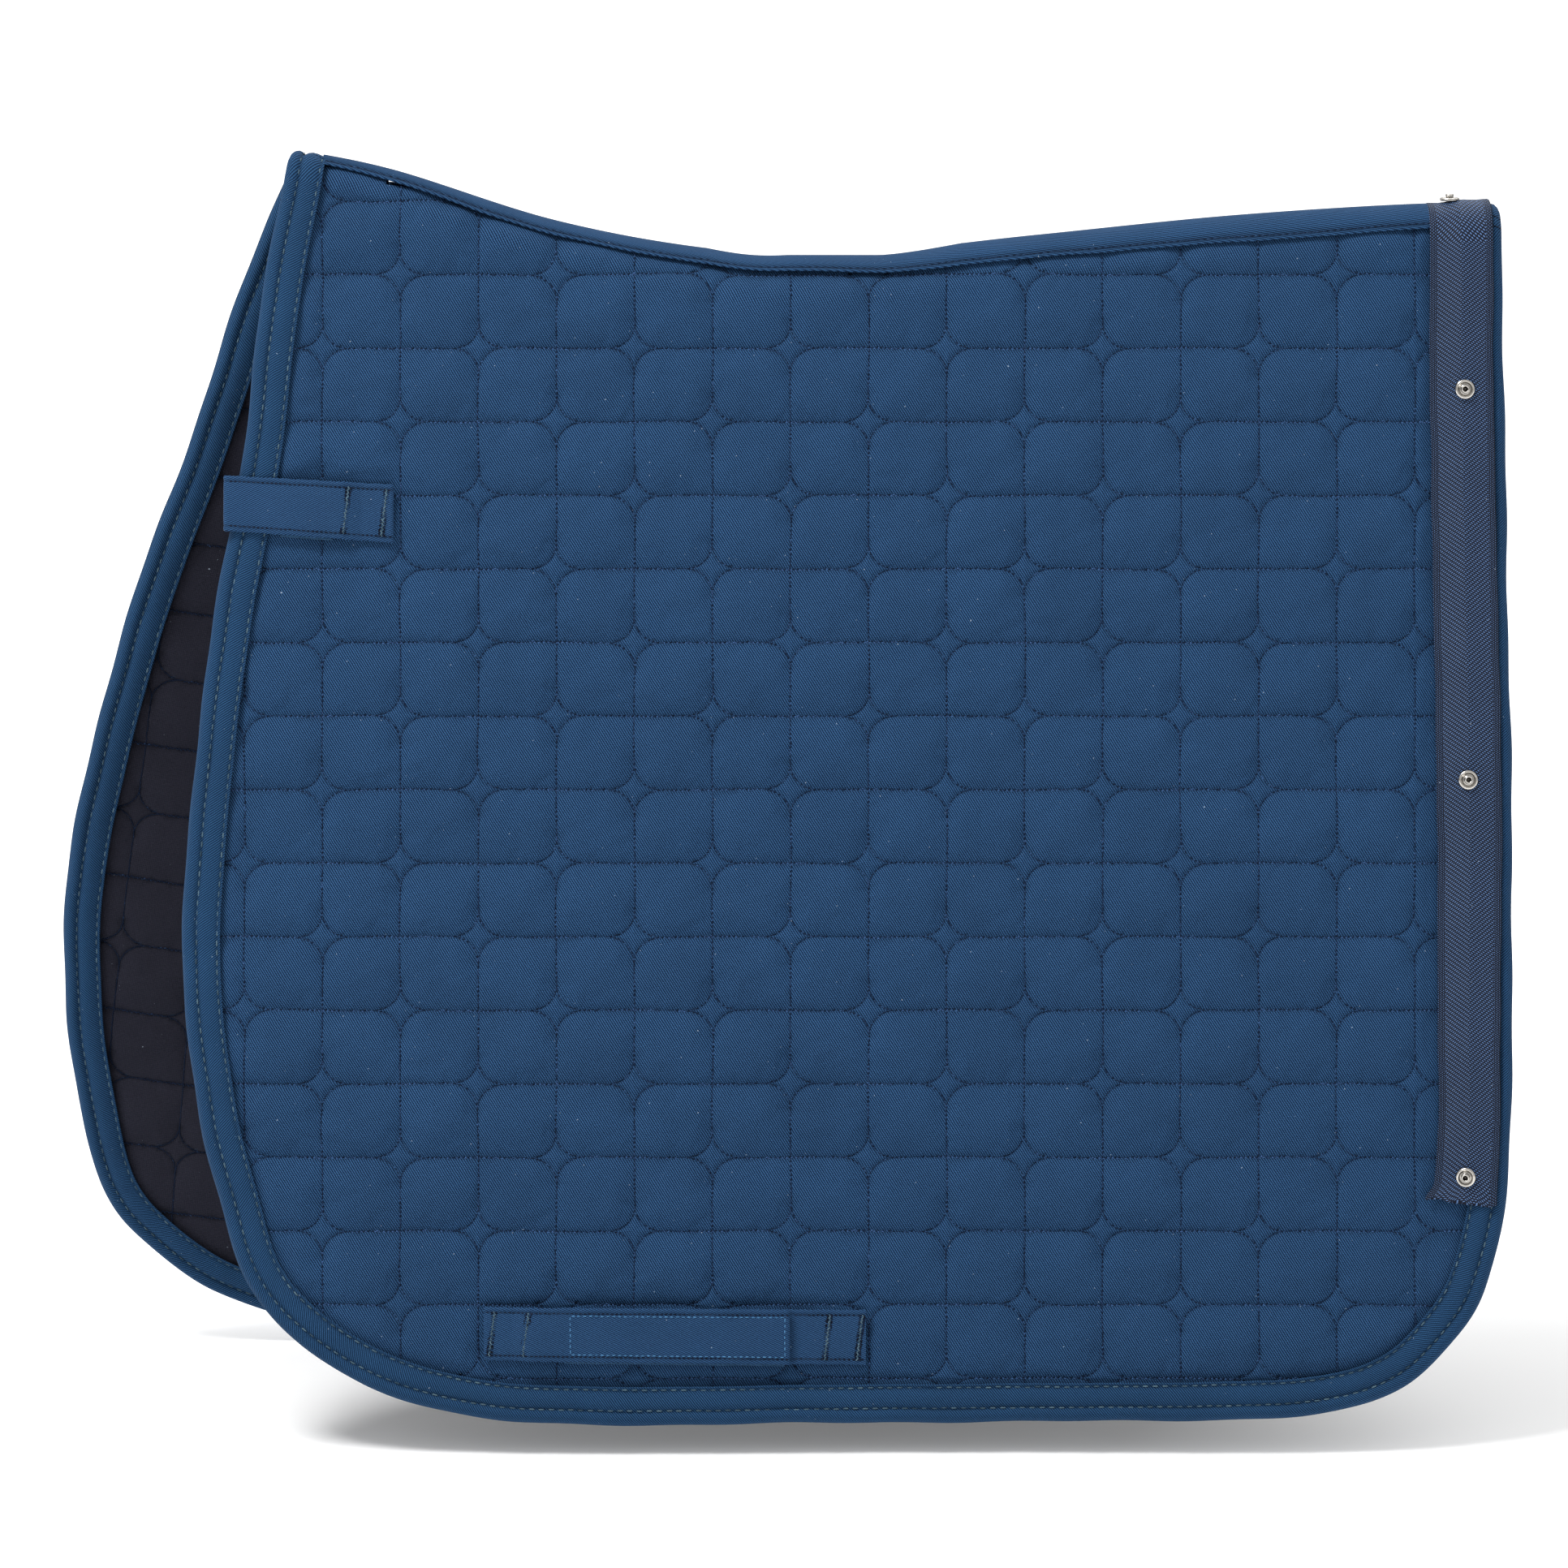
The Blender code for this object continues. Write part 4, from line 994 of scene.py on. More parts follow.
# The join in the binding: the drops of its two rows, their start and end, and the flap's edge beside them.
JOIN_DROPS, JOIN_ENDS, JOIN_LEAN, JOIN_EDGE = (-0.0249, -0.0207), (0.3080, 0.3124), 0.0004, 0.3131


def binding_join(label, side):
    """Two short dark rows of stitches across the rear binding, where its ends are joined."""
    start, end = JOIN_ENDS
    rows = [np.array([(start, drop), (end, drop + JOIN_LEAN)]) for drop in JOIN_DROPS]
    spots, runs = along_lines(rows, 0.0012)
    out = np.interp(JOIN_EDGE - spots[:, 0], BINDING_SKIN[:, 0], BINDING_SKIN[:, 1]) + 0.0001
    on_flap(sew(f"{label}_binding_join", side, spots, runs, out, (0.0012, 0.0007), 0.1, DARK_THREAD,
                "binding_twill"), label, side)


def swept(name, side, stations, ring_at, material, cloth_at, tone):
    """A closed piece through rings: ring_at(s) gives (along, drop, out) points of one ring."""
    rings = [ring_at(s) for s in stations]
    flat = np.vstack(rings)
    points = place(side, flat[:, 0], flat[:, 1], flat[:, 2])
    cloth = np.vstack([cloth_at(s, r) for s, r in zip(stations, rings)])
    faces = ring_faces(len(stations), len(rings[0]))
    tones = np.tile(np.broadcast_to(tone, len(rings[0])), len(stations))
    return fix_normals(make(name, points, faces, material, cloth=cloth, tone=tones))


BAND_SECTION = (
    (0.0, 0.0097), (0.0030, 0.0098), (0.0060, 0.0098), (0.0090, 0.0097), (0.0115, 0.0095), (0.0132, 0.0091),
    (0.0139, 0.0088), (0.0145, 0.0090), (0.0152, 0.0092), (0.0156, 0.0089), (0.0156, 0.0083),
    (0.0120, 0.0082), (0.0080, 0.0083), (0.0040, 0.0084), (0.0, 0.0084),
)


# The band's stitches: where they are on its section and up from its lower edge, and their height and size.
BAND_STITCHING, BAND_STITCHES_UP, BAND_STITCHES_OUT = 0.0139, 0.0017, 0.00915
BAND_STITCH_PITCH, BAND_STITCH_SIZE = 0.0016, (0.0013, 0.0005)


def half_band(label, side, rear):
    """Half of the tape over the spine, with its turned and stitched lower edge."""
    section = np.array(BAND_SECTION) + [0, 0.00015]
    stations = np.arange(EDGE_CURVE[0, 0] + BINDING_WIDTH - 0.0022, rear, 0.0025)

    def ring(u):
        top = fold(u)[3]
        stray = 0.0003 * wander(u, 0.3, 5) * (section[:, 0] / BAND_EDGE)
        flat = BAND_EDGE - BAND_LIP
        to_lip = np.minimum(section[:, 0], flat) * (band_reach(u) - BAND_LIP) / flat
        reach = to_lip + np.maximum(section[:, 0] - flat, 0)
        return np.stack([np.full(len(section), u), top + reach + stray, section[:, 1]], -1)

    def cloth(u, r):
        return np.stack([r[:, 0], section[:, 0]], -1)

    # Painted shade: the band darker along the groove of its stitched line.
    tone = np.clip(np.abs(section[:, 0] - BAND_STITCHING) / 0.0012, 0.1, 1)
    piece = swept(f"{label}_spine_band", side, stations, ring, BAND_TWILL, cloth, tone)
    on_flap(piece, label, side, "spine_band")
    line = np.stack([stations, fold(stations)[3] + band_reach(stations) - BAND_STITCHES_UP], -1)
    spots, runs = along_line(line, BAND_STITCH_PITCH)
    picks = np.random.default_rng(3)
    tones = np.where(np.arange(len(spots)) % 2, 0.4, 0.0)
    tones = np.clip(tones + picks.normal(size=len(spots)) * 0.12, 0, 1)
    stitched = sew(f"{label}_spine_band_stitching", side, spots, runs, BAND_STITCHES_OUT, BAND_STITCH_SIZE,
                   tones, QUILT_THREAD, "binding_twill")
    on_flap(stitched, label, side)


INNER_TAPE_SECTION = np.array([
    (0.0, -0.0009), (0.0050, -0.0010), (0.0094, -0.0010), (0.0100, -0.0014), (0.0096, -0.0020),
    (0.0050, -0.0022), (0.0, -0.0021),
])


def half_inner_tape(label, side, rear):
    """Half of the tape under the spine."""
    section = INNER_TAPE_SECTION
    stations = np.arange(EDGE_CURVE[0, 0] + BINDING_WIDTH + 0.0006, rear, 0.006)

    def ring(u):
        return np.stack([np.full(len(section), u), fold(u)[3] + section[:, 0], section[:, 1]], -1)

    def cloth(u, r):
        return np.stack([r[:, 0], section[:, 0]], -1)

    piece = swept(f"{label}_inner_tape", side, stations, ring, LINING, cloth, 1.0)
    on_flap(piece, label, side, "spine_inner_tape")


# The trim webbing: (drop, middle, half width), its points across and their heights, and where it ends.
WEBBING_RUN = (
    (-0.0400, 0.29335, 0.0148), (0.0600, 0.2935, 0.0149), (0.2440, 0.2972, 0.0152), (0.3960, 0.2971, 0.0143),
    (0.4360, 0.2950, 0.0150),
)
WEBBING_SHARES = np.array([-1, -0.985, -0.93, -0.8, -0.6, -0.4, -0.2, 0, 0.2, 0.4, 0.6, 0.8, 0.93, 0.985, 1])
WEBBING_SKIN = np.array([0.25, 0.8, 1.05, 1.0, 0.92, 0.95, 1.0, 0.93, 1.0, 0.95, 0.92, 1.0, 1.05, 0.8, 0.25])
WEBBING_END, WEBBING_HALF, WEBBING_THICKNESS = 0.4345, 0.0149, 0.0012
WEBBING_MIDDLE, WEBBING_SPACING = 0.2934, 0.0022


def webbing_place(drop):
    """Middle and half width of the trim webbing at a drop."""
    run = np.array(WEBBING_RUN)
    return np.interp(drop, run[:, 0], run[:, 1]), np.interp(drop, run[:, 0], run[:, 2])


def trim_webbing(label, side):
    """The webbing sewn down the rear edge, from the crest to just above the corner."""
    shares = WEBBING_SHARES
    crest = float(fold(WEBBING_MIDDLE)[3])
    stations = np.r_[np.arange(crest, WEBBING_END, WEBBING_SPACING), WEBBING_END]
    both_faces = np.r_[shares, shares[::-1]]

    def rest(x):
        return 0.0089 + 0.0015 * smoothstep((x - 0.284) / 0.012) + 0.0004 * smoothstep((x - 0.300) / 0.008)

    def ring(d):
        middle, half = webbing_place(d)
        x = middle + half * shares * (1 + 0.006 * math.sin(d * 130)) + 0.0003 * wander(d, 0.1, 2)
        end = smoothstep((d - 0.425) / 0.0095)
        x = x - 0.0035 * end * np.clip(-shares, 0, 1)
        low = rest(x)
        d_line = np.maximum(d + end * (0.0022 * shares + 0.0009 * np.sin(shares * 11)), fold(x)[3])
        top = np.stack([x, d_line, low + WEBBING_THICKNESS * WEBBING_SKIN], -1)
        return np.vstack([top, np.stack([x, d_line, low], -1)[::-1]])

    def cloth(d, r):
        return np.stack([both_faces * WEBBING_HALF, np.full(len(r), d)], -1)

    # Painted shade: the webbing darker along both edges, where they roll down to the cover.
    tone = np.clip((1 - np.abs(both_faces)) * 9 + 0.55, 0, 1)
    piece = swept(f"{label}_webbing", side, stations, ring, WEBBING, cloth, tone)
    on_flap(piece, label, side, f"{label}_trim_webbing", "spine_webbing")


# Snaps --------------------------------------------------------------------------------------------

STUD_SECTION = (
    (0.0, 0.0005), (0.00075, 0.0005), (0.00095, 0.0008), (0.0010, 0.0022), (0.00115, 0.00285),
    (0.00145, 0.0031), (0.00175, 0.0030), (0.0020, 0.00265), (0.00205, 0.0022), (0.00185, 0.0017),
    (0.00185, 0.0011), (0.0021, 0.0008), (0.0026, 0.0007), (0.0030, 0.0008), (0.0033, 0.0012),
    (0.0037, 0.0014), (0.0042, 0.0013), (0.0046, 0.0009), (0.0047, 0.0004), (0.0046, -0.0001), (0.0, -0.0001),
)
CAP_SECTION = (
    (0.0, 0.0009), (0.0015, 0.00095), (0.0030, 0.0011), (0.0038, 0.0011), (0.0044, 0.0008), (0.0047, 0.0003),
    (0.0046, 0.0), (0.0, 0.0),
)


TURNED_SIDES = 48


def turned(name, section, spot, axis, tilt=(0.0, 0.0)):
    """A round metal piece from its (radius, height) section."""
    count = TURNED_SIDES
    turn = np.arange(count) * 2 * math.pi / count
    basis = axis.to_track_quat("Z", "X").to_matrix()
    basis = np.array(basis @ Matrix.Rotation(tilt[0], 3, "X") @ Matrix.Rotation(tilt[1], 3, "Y"))
    points, rows = [], []
    for radius, height in section:
        if radius == 0:
            rows.append([len(points)])
            points.append(np.array([0, 0, height]))
            continue
        rows.append(list(range(len(points), len(points) + count)))
        points += list(np.stack([radius * np.cos(turn), radius * np.sin(turn), np.full(count, height)], -1))
    faces = []
    for low, high in zip(rows, rows[1:]):
        for i in range(count):
            k = (i + 1) % count
            face = [low[i % len(low)], low[k % len(low)], high[k % len(high)], high[i % len(high)]]
            faces.append(list(dict.fromkeys(face)))
    world = np.array(points) @ basis.T + np.array(spot)
    return fix_normals(make(name, world, faces, NICKEL))


# The snaps down the webbing: (along, drop, tilt). A stud and its cap sit this far out from the flap.
SNAPS = {"upper": (0.2949, 0.0540, 0.0), "middle": (0.2964, 0.2367, 0.03), "lower": (0.2953, 0.4226, -0.2)}
STUD_OUT, CAP_OUT = 0.01165, -0.0018
SPINE_SNAP_ALONG, SPINE_STUD_OUT = 0.2896, 0.0110


def add_snap(place_name, half, body, section, seat, axis, tilt=(0.0, 0.0)):
    """One half of a snap, the stud or the cap, on its body and in place of its node."""
    piece = turned(f"{place_name}_{half}", section, seat, axis, tilt)
    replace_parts(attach(piece, body), f"{place_name}_snap_{half}")


def add_snaps(label, side):
    """The three snaps on a flap's webbing, with their caps on the lining."""
    outward = Vector((0, side * COS, SIN))
    for spot, (along, drop, tilt) in SNAPS.items():
        spot_name, body = f"{label}_{spot}", f"{label}_flap"
        seat = Vector(place(side, along, drop, STUD_OUT))
        add_snap(spot_name, "stud", body, STUD_SECTION, seat, outward, (tilt, tilt * 0.5))
        seat = Vector(place(side, along, drop, CAP_OUT))
        add_snap(spot_name, "cap", body, CAP_SECTION, seat, -outward)


def add_spine_snap():
    """The snap on top of the spine, with its cap under the inner tape."""
    height, radius = fold(SPINE_SNAP_ALONG)[:2]
    up = Vector((0, 0, 1))
    seat = Vector((SPINE_SNAP_ALONG, 0, RAISED + height + radius + SPINE_STUD_OUT))
    add_snap("spine", "stud", "spine", STUD_SECTION, seat, up)
    seat = Vector((SPINE_SNAP_ALONG, 0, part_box("spine_snap_cap")[1].z))
    add_snap("spine", "cap", "spine", CAP_SECTION, seat, -up)


# Straps -------------------------------------------------------------------------------------------

# A strap's points across its width, as shares of it, and their heights, as shares of its thickness.
STRAP_SHARES = np.array([0, 0.012, 0.04, 0.085, 0.10, 0.13, 0.25, 0.4, 0.5])
STRAP_SHARES = np.r_[STRAP_SHARES, 0.6, 0.75, 0.87, 0.90, 0.915, 0.96, 0.988, 1]
STRAP_SKIN = np.array([0.5, 0.85, 1.0, 0.9, 0.82, 0.95, 1.05, 1.1, 1.1])
STRAP_SKIN = np.r_[STRAP_SKIN, STRAP_SKIN[-2::-1]]
# The rows of stitching along a strap's edges, as shares of its width.
STRAP_EDGING = (0.10, 0.90)
EDGING_PITCH, EDGING_SIZE, EDGING_TONE = 0.0021, (0.0015, 0.0005), 0.35
STRAP_SPACING = 0.0018


def strap_edges(spec, along):
    """The drops of a strap's upper and lower edges at a distance along the spine."""
    share = (along - spec["ends"][0]) / (spec["ends"][1] - spec["ends"][0])
    return [spec[k][0] + share * (spec[k][1] - spec[k][0]) for k in ("top", "bottom")]


def flat_strap(name, side, spec, path, thickness):
    """A woven strap along a path of (along, out) points of its underside, between its sloping edges."""
    path = np.array(path, float)
    lengths = np.r_[0, np.cumsum(np.linalg.norm(np.diff(path, axis=0), axis=1))]
    stations = np.unique(np.r_[np.arange(0, lengths[-1], STRAP_SPACING), lengths])
    stations = stations[np.r_[True, np.diff(stations) > 0.0003]]

    def at(s):
        return np.array([np.interp(s, lengths, path[:, k]) for k in (0, 1)])

    def ring(s):
        here = at(s)
        run = at(min(s + 0.0012, lengths[-1])) - at(max(s - 0.0012, 0))
        run /= np.linalg.norm(run)
        normal = np.array([-run[1], run[0]])
        if path[-1, 0] < path[0, 0]:
            normal = -normal
        top, bottom = strap_edges(spec, here[0])
        fray = 0.0002 * math.sin(s * 900) + 0.00015 * math.sin(s * 370)
        drop = top + (bottom - top) * STRAP_SHARES + fray * (STRAP_SHARES - 0.5)
        wave = 0.00012 * np.sin(s * 190 + STRAP_SHARES * 5)
        upper = here[:, None] + normal[:, None] * (thickness * STRAP_SKIN + wave)
        lower = here[:, None] + normal[:, None] * np.full(len(STRAP_SHARES), thickness * 0.02)
        top_ring = np.stack([upper[0], drop, upper[1]], -1)
        low_ring = np.stack([lower[0], drop, lower[1]], -1)[::-1]
        return np.vstack([top_ring, low_ring])

    def cloth(s, r):
        return np.stack([np.full(len(r), s), r[:, 1]], -1)

    # Painted shade: the strap darker along the grooves of its rows of edge stitching.
    line = np.min([np.abs(STRAP_SHARES - share) for share in STRAP_EDGING], 0)
    tone = np.clip(line / 0.03, 0.3, 1)
    return swept(name, side, stations, ring, STRAP_TWILL, cloth, np.r_[tone, tone[::-1]])


def strap_line(spec, start, end, share, count=40):
    """Points along a strap at a share of its width, from one distance along the spine to another."""
    along = np.linspace(start, end, count)
    top, bottom = strap_edges(spec, along)
    return np.stack([along, top + (bottom - top) * share], -1)


def strap_stitches(name, side, lines, out, pitch, size, tones, material):
    """Dashes along lines on a strap; out is a height, or a function of the distance along the spine."""
    spots, runs = along_lines(lines, pitch)
    picks = np.random.default_rng(len(name))
    heights = out(spots[:, 0]) if callable(out) else out
    spots = spots + picks.normal(size=spots.shape) * 0.00006
    shade = np.clip(tones + picks.normal(size=len(spots)) * 0.15, 0, 1.3)
    return sew(name, side, spots, runs, heights, size, shade, material, "strap_twill")


def edging(name, side, spec, start, end, out, count=40):
    """The two rows of dark stitching along a strap's edges."""
    lines = [strap_line(spec, start, end, share, count) for share in STRAP_EDGING]
    return strap_stitches(name, side, lines, out, EDGING_PITCH, EDGING_SIZE, EDGING_TONE, DARK_THREAD)


# The two parts of a bar tack: thread, stitch length and width, tone, and height above the strap.
TACK_PARTS = {
    "bars": (BINDING_THREAD, 0.0016, 0.00062, 0.7, 0.00035),
    "marks": (DARK_THREAD, 0.0013, 0.0006, 0.1, 0.00005),
}
TACK_LEAN, TACK_PITCH, TACK_MARGIN, MARK_OFFSET = 0.0022, 0.0009, 0.09, 0.00105


def bar_tacks(name, label, side, spec, places, out):
    """Dense zigzag bars across a strap, with dark needle marks beside them."""
    groups = {"bars": [], "marks": []}
    for along in places:
        top, bottom = strap_edges(spec, along)
        margin = (bottom - top) * TACK_MARGIN
        line = np.array([[along + TACK_LEAN, top + margin], [along - TACK_LEAN * 0.2, bottom - margin]])
        spots, runs = along_line(line, TACK_PITCH)
        across = np.stack([-runs[:, 1], runs[:, 0]], -1)
        odd = (np.arange(len(spots)) % 2 - 0.5)[:, None]
        groups["bars"].append((spots, runs + across * odd * 1.6))
        for sign in (-1, 1):
            groups["marks"].append((spots + across * sign * MARK_OFFSET, across + runs * 0.5 * sign))
    for part, (material, length, width, tone, lift) in TACK_PARTS.items():
        spots, runs = (np.vstack(group) for group in zip(*groups[part]))
        picks = np.random.default_rng(len(name))
        spots = spots + picks.normal(size=spots.shape) * 0.0001
        heights = out(spots[:, 0]) if callable(out) else out
        size = (length * (1 + 0.25 * picks.normal(size=len(spots))), width)
        tones = np.clip(tone + picks.normal(size=len(spots)) * 0.25, 0, 1.5)
        tacks = sew(f"{name}_{part}", side, spots, runs, heights + lift, size, tones, material, "strap_twill")
        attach(tacks, f"{label}_flap")


# The hook tape's bristles: rows across it, their pitch along it, and their length and width.
PATCH_MARGIN, LOOPS_PAST_EDGE = 0.06, 0.035
BRISTLE_ROWS, BRISTLE_PITCH, BRISTLE_SIZE = 14, 0.0015, (0.0007, 0.00026)


def hook_patch(name, side, spec, ends, out, thickness, direction, material, bristles):
    """A patch of hook or loop tape: a woven ground with bristles or a fleecy face."""
    along = np.linspace(*ends, 84 if ends[1] - ends[0] > 0.05 else 22)
    last = 1.0 + (LOOPS_PAST_EDGE if bristles is None else -PATCH_MARGIN)
    shares = np.linspace(PATCH_MARGIN, last, 18)
    u, v = np.meshgrid(along, shares, indexing="ij")
    top, bottom = strap_edges(spec, u)
    drop = top + (bottom - top) * v
    picks = np.random.default_rng(len(name))
    fleece = picks.random(u.shape) * (0.0004 if bristles is None else 0.00012)
    low = np.full(u.shape, out if direction > 0 else out + thickness)
    high = low + direction * (thickness * 0.6 + fleece)
    face = place(side, u, drop, high).reshape(-1, 3)
    back = place(side, u, drop, low).reshape(-1, 3)
    index = np.arange(u.size).reshape(u.shape)
    quads = np.stack([index[:-1, :-1], index[1:, :-1], index[1:, 1:], index[:-1, 1:]], -1).reshape(-1, 4)
    rim = np.r_[index[:-1, 0], index[-1, :-1], index[:0:-1, -1], index[0, :0:-1]]
    wall = np.stack([rim, np.roll(rim, -1), np.roll(rim, -1) + u.size, rim + u.size], -1)
    faces = quads.tolist() + (quads[:, ::-1] + u.size).tolist() + wall.tolist()
    cloth = np.tile(np.stack([u, drop], -1).reshape(-1, 2), (2, 1))
    points, tone = np.vstack([face, back]), np.ones(2 * u.size)
    made = [fix_normals(make(name, points, faces, material, cloth=cloth, tone=tone))]
    if bristles:
        columns = np.arange(ends[0] + 0.001, ends[1] - 0.0005, BRISTLE_PITCH)
        u, v = np.meshgrid(columns, np.linspace(0.1, 0.9, BRISTLE_ROWS))
        u = (u + (np.arange(BRISTLE_ROWS) % 2)[:, None] * BRISTLE_PITCH / 2).ravel()
        top, bottom = strap_edges(spec, u)
        spots = np.stack([u, top + (bottom - top) * v.ravel()], -1)
        lean = np.tile([1.0, 0.0], (len(spots), 1))
        here, run, up = stand_on(side, spots, lean, out + thickness * (0.35 if direction < 0 else 0.6))
        tilt = up * direction + run * picks.normal(size=(len(spots), 1)) * 0.35
        made.append(stitch_mesh(bristles, here + up * direction * 0.25, tilt, run, *BRISTLE_SIZE, 0.8,
                                DARK_THREAD, "hook_and_loop"))
    return made


def hook_and_loop(label, side, kind, spec, loop_ends, hook_ends, loop_seat, hook_seat):
    """A keeper's loop tape on its flap and its hook tape on the strap; a seat is (out, thickness)."""
    name, keeper = f"{label}_{kind}", f"{label}_{kind}_keeper"
    loops = hook_patch(f"{name}_loops", side, spec, loop_ends, *loop_seat, 1, LOOP_CLOTH, None)
    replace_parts(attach(loops[0], f"{label}_flap"), f"{name}_loop_patch")
    hooks = hook_patch(f"{name}_hooks", side, spec, hook_ends, *hook_seat, -1, HOOK_CLOTH,
                       f"{name}_hook_bristles")
    for piece in hooks:
        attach(piece, keeper)
    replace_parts(hooks[0], f"{name}_hook_patch")


# Where each opening strap leaves its sewn tab: its place along the spine, its drop, and the way it runs.
STRAP_BENDS = {"girth": (-0.1417, 0.5, 1), "billet": (-0.2314, 0.11, -1)}


def bend_strap(piece, label, side, kind, *nodes):
    """A strap piece baked into place, that stands for the given nodes; the way it runs from its sewn tab is
    worked out but not used.
    """
    along, drop, way = STRAP_BENDS[kind]
    run = place(side, along + way * 0.004, drop, 0.012) - place(side, along, drop, 0.012)
    run /= np.linalg.norm(run)
    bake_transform(piece)
    if nodes:
        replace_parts(piece, *nodes)


# How far out a strap's underside is: sewn down, part of the way up, and over its hook and loop tape.
SEWN_OUT, RISING_OUT, STITCHES_OUT = 0.0088, 0.0098, 0.00115
GIRTH_OUT, GIRTH_TIP, BOX_ENDS, BOX_SHARES = 0.0118, -0.0205, (-0.1235, -0.0232), (0.145, 0.865)
BILLET_OUT, FAR_TIP = 0.0110, -0.2725
STRAP_THICKNESS, LOWER_THICKNESS = 0.0012, 0.0011
BOX_PITCH, BOX_SIZE, BOX_TONE = 0.0027, (0.0018, 0.0006), 0.75


def add_girth_keeper(label, side):
    """The strap low on the flap: a lower part that is sewn down, and an upper part that opens."""
    flap, name = f"{label}_flap", f"{label}_girth"
    under = [(-0.1642, SEWN_OUT), (-0.1505, SEWN_OUT), (-0.1465, RISING_OUT), (-0.1425, GIRTH_OUT),
             (GIRTH_TIP, GIRTH_OUT)]
    long = flat_strap(f"{name}_strap", side, GIRTH, under, STRAP_THICKNESS)
    bend_strap(long, label, side, "girth", f"{name}_strap_tab", f"{name}_long_strap")
    low = [(-0.1277, SEWN_OUT), (0.0148, SEWN_OUT)]
    short = flat_strap(f"{name}_lower_strap", side, GIRTH, low, LOWER_THICKNESS)
    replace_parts(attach(short, flap), f"{name}_short_strap")
    knots = np.array(under)

    def on_long(u):
        return np.interp(u, knots[:, 0], knots[:, 1]) + STITCHES_OUT

    edge = edging(f"{name}_strap_edging", side, GIRTH, -0.1636, -0.0212, on_long)
    bend_strap(edge, label, side, "girth")
    box = [strap_line(GIRTH, *BOX_ENDS, share) for share in BOX_SHARES]
    for u in BOX_ENDS:
        top, bottom = strap_edges(GIRTH, u)
        box.append(np.array([[u, top + (bottom - top) * share] for share in BOX_SHARES]))
    dashes = strap_stitches(f"{name}_box_stitching", side, box, lambda u: on_long(u) + 0.0001, BOX_PITCH,
                            BOX_SIZE, BOX_TONE, BOX_THREAD)
    bend_strap(dashes, label, side, "girth")
    bar_tacks(f"{name}_tab_tacks", label, side, GIRTH, (-0.1612, -0.1452), on_long)
    bar_tacks(f"{name}_lower_tacks", label, side, GIRTH, (-0.0042, 0.0110), SEWN_OUT + LOWER_THICKNESS)
    edge = edging(f"{name}_lower_edging", side, GIRTH, -0.0190, 0.0140, SEWN_OUT + 0.00105, 12)
    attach(edge, flap)
    hook_and_loop(label, side, "girth", GIRTH, (-0.1262, -0.0232), (-0.1246, -0.0232), (0.0101, 0.0006),
                  (0.0110, 0.0007))


def add_billet_strap(label, side):
    """The strap high on the front edge: sewn at its rear, it wraps the edge on the near flap and opens."""
    under = [(-0.2063, SEWN_OUT), (-0.2215, SEWN_OUT), (-0.2250, RISING_OUT), (-0.2300, BILLET_OUT)]
    if side == LEFT:
        under += [(-0.2835, BILLET_OUT), (-0.2845, 0.0106), (-0.2848, 0.0095), (-0.2848, 0.0000),
                  (-0.2844, -0.0010)]
    else:
        under += [(FAR_TIP, BILLET_OUT)]
    strap = flat_strap(f"{label}_billet_loop", side, BILLET, under, STRAP_THICKNESS)
    bend_strap(strap, label, side, "billet", f"{label}_billet_strap_tab", f"{label}_billet_strap")
    knots = np.array(under[:5])[::-1]

    def on_strap(u):
        return np.interp(u, knots[:, 0], knots[:, 1]) + STITCHES_OUT

    edge = edging(f"{label}_billet_edging", side, BILLET, -0.2070, under[4][0] + 0.0001, on_strap)
    bend_strap(edge, label, side, "billet")
    bar_tacks(f"{label}_billet_tacks", label, side, BILLET, (-0.2294, -0.2117), on_strap)
    ends = (-0.2595, -0.2350)
    hook_and_loop(label, side, "billet", BILLET, ends, ends, (0.0088, 0.0007), (0.0100, 0.0008))


# The whole pad ------------------------------------------------------------------------------------

SEWN_LINES = dict(zip(("row", "column"), quilt_lines()))
BAND_END = 0.3125 - BINDING_WIDTH - 0.0006
LINING_SHARE, LINING_DIM = LINING_PUFF / PUFF, 0.12


def add_quilting(label, side):
    """A flap's cover and lining, with the stitches of their rows and columns."""
    lining_out = THICKNESS - SEAM_OUT
    cover = quilted_sheet(f"{label}_quilted_cover", side, 31 + side, SEAM_OUT, MIDDLE, 1, 1.0, COVER_TWILL)
    on_flap(cover, label, side, f"{label}_outer_cover", f"{label}_batting", "spine_padding")
    lining = quilted_sheet(f"{label}_quilted_lining", side, 41 + side, lining_out, MIDDLE - 0.0001, -1,
                           LINING_SHARE, LINING)
    on_flap(lining, label, side, f"{label}_lining")
    for sheet, out, way, slot, scale, dim in (
        ("quilt", SEAM_OUT, 1, "quilted_twill", 1.0, 1.0),
        ("lining", lining_out, -1, "lining_cotton", LINING_SHARE, LINING_DIM),
    ):
        for line_kind, lines in SEWN_LINES.items():
            kind = f"{sheet}_{line_kind}_stitching"
            stitches = quilt_stitches(f"{label}_{kind}", side, line_kind, lines, out, way, slot, scale, dim,
                                      len(kind) + side)
            on_flap(stitches, label, side)


def build_flap(label, side):
    """Everything on one side of the pad."""
    add_quilting(label, side)
    edge_binding(label, side)
    binding_join(label, side)
    half_band(label, side, BAND_END)
    half_inner_tape(label, side, BAND_END)
    trim_webbing(label, side)
    add_snaps(label, side)
    add_girth_keeper(label, side)
    add_billet_strap(label, side)


for flap_label, flap_side in SIDES.items():
    build_flap(flap_label, flap_side)
add_spine_snap()


# Studio -------------------------------------------------------------------------------------------


WHITE = (1.0, 1.0, 1.0, 1.0)
PAPER, PAPER_RADIUS, PAPER_SIDES = (0.93, 0.93, 0.93, 1.0), 70, 64

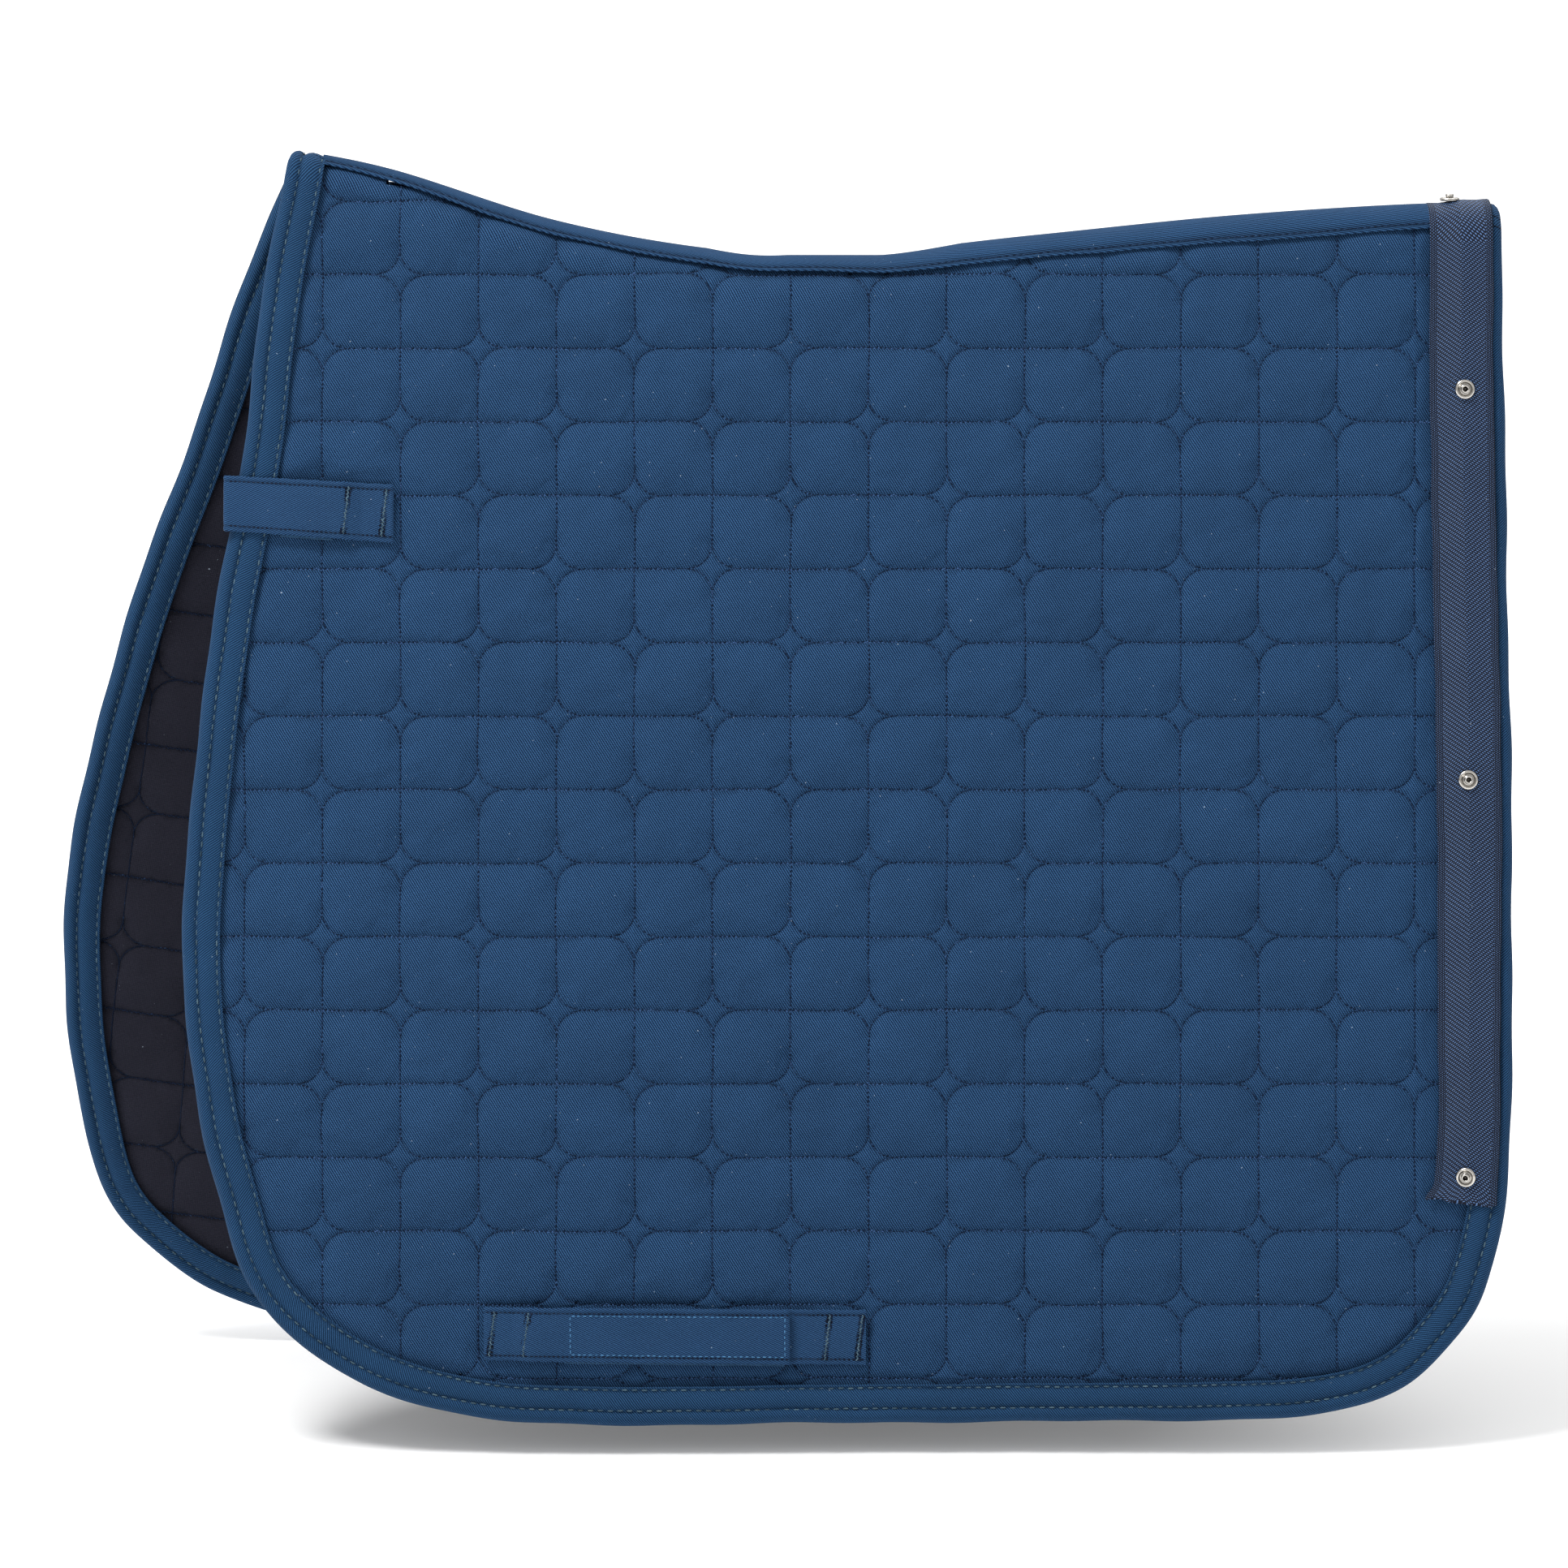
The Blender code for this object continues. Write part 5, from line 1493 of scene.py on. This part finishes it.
# Each light: its place, its size and its power. All of them point at the middle of the pad.
LIGHTS = {
    "key_light": ((-1.5, -1.1, 2.9), 1.1, 125.0),
    "fill_light": ((2.4, -2.4, 0.6), 2.4, 6.0),
    "back_light": ((0.5, 2.2, 2.4), 2.5, 50.0),
}
LIT_SPOT = Vector((0, 0, -0.25))

# The camera looks square on to the left flap, at this (along, drop, out), from far away.
SEEN_ALONG, SEEN_DROP, SEEN_OUT = -0.0236, 0.2386, 0.0085
CAMERA_DISTANCE, SENSOR, VIEW_WIDTH = 3.0, 36.0, 0.7342


def link(name, data):
    """A new object in the scene."""
    made = bpy.data.objects.new(name, data)
    bpy.context.scene.collection.objects.link(made)
    return made


def add_floor():
    """A wide pale floor that glows a little more far away, so that it has no edge."""
    lowest = min(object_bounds()[0][2], CAD_BOX[0][2])
    mesh = bpy.data.meshes.new("studio_floor")
    turns = [2 * math.pi * i / PAPER_SIDES for i in range(PAPER_SIDES)]
    rim = [(PAPER_RADIUS * math.cos(t), PAPER_RADIUS * math.sin(t), lowest) for t in turns]
    mesh.from_pydata(rim, [], [list(range(PAPER_SIDES))])
    paper, tree, shader = start_material("paper")
    spot = node(tree, "TexCoord").outputs["Object"]
    far = node(tree, "VectorMath", {0: spot}, operation="LENGTH").outputs["Value"]
    glow = node(tree, "MapRange", {0: far, 1: 0.7, 2: 4.5, 3: 0.12, 4: 0.75}, interpolation_type="SMOOTHSTEP")
    shader.inputs["Base Color"].default_value = PAPER
    shader.inputs["Roughness"].default_value = 0.95
    shader.inputs["Emission Color"].default_value = WHITE
    tree.links.new(glow.outputs[0], shader.inputs["Emission Strength"])
    mesh.materials.append(paper)
    link("studio_floor", mesh)


def add_sky():
    """Soft light from all round, brighter from above, seen by the camera as plain white."""
    world = bpy.context.scene.world or bpy.data.worlds.new("World")
    bpy.context.scene.world = world
    world.use_nodes = True
    sky = world.node_tree
    height = node(sky, "SeparateXYZ", {0: node(sky, "TexCoord").outputs["Generated"]}).outputs[2]
    ramp = node(sky, "MapRange", {0: height, 1: -0.6, 2: 1.0, 3: 0.10, 4: 0.85})
    seen = node(sky, "LightPath").outputs["Is Camera Ray"]
    strength = node(sky, "Mix", {0: seen, 2: ramp.outputs[0], 3: 1.0}, data_type="FLOAT").outputs[0]
    sky.nodes["Background"].inputs["Color"].default_value = WHITE
    sky.links.new(strength, sky.nodes["Background"].inputs["Strength"])


def aim(made, spot, target):
    """Put a light or camera at a spot, pointing at its target."""
    made.location = spot
    made.rotation_euler = (target - made.location).to_track_quat("-Z", "Y").to_euler()


def add_lights():
    """Three soft area lights."""
    for name, (spot, size, power) in LIGHTS.items():
        light = bpy.data.lights.new(name, "AREA")
        light.size = size
        light.energy = power
        aim(link(name, light), Vector(spot), LIT_SPOT)


def add_camera():
    """The camera at the photograph's viewing angle."""
    outwards = HALF_GAP + SEEN_DROP * SIN + SEEN_OUT * COS
    middle = Vector((SEEN_ALONG, -outwards, RAISED - SEEN_DROP * COS + SEEN_OUT * SIN))
    camera = link("camera", bpy.data.cameras.new("camera"))
    aim(camera, middle + CAMERA_DISTANCE * Vector((0, -COS, SIN)), middle)
    camera.data.sensor_width = SENSOR
    camera.data.lens = SENSOR * CAMERA_DISTANCE / VIEW_WIDTH
    bpy.context.scene.camera = camera


add_floor()
add_sky()
add_lights()
add_camera()
bpy.context.scene.view_settings.view_transform = "Standard"
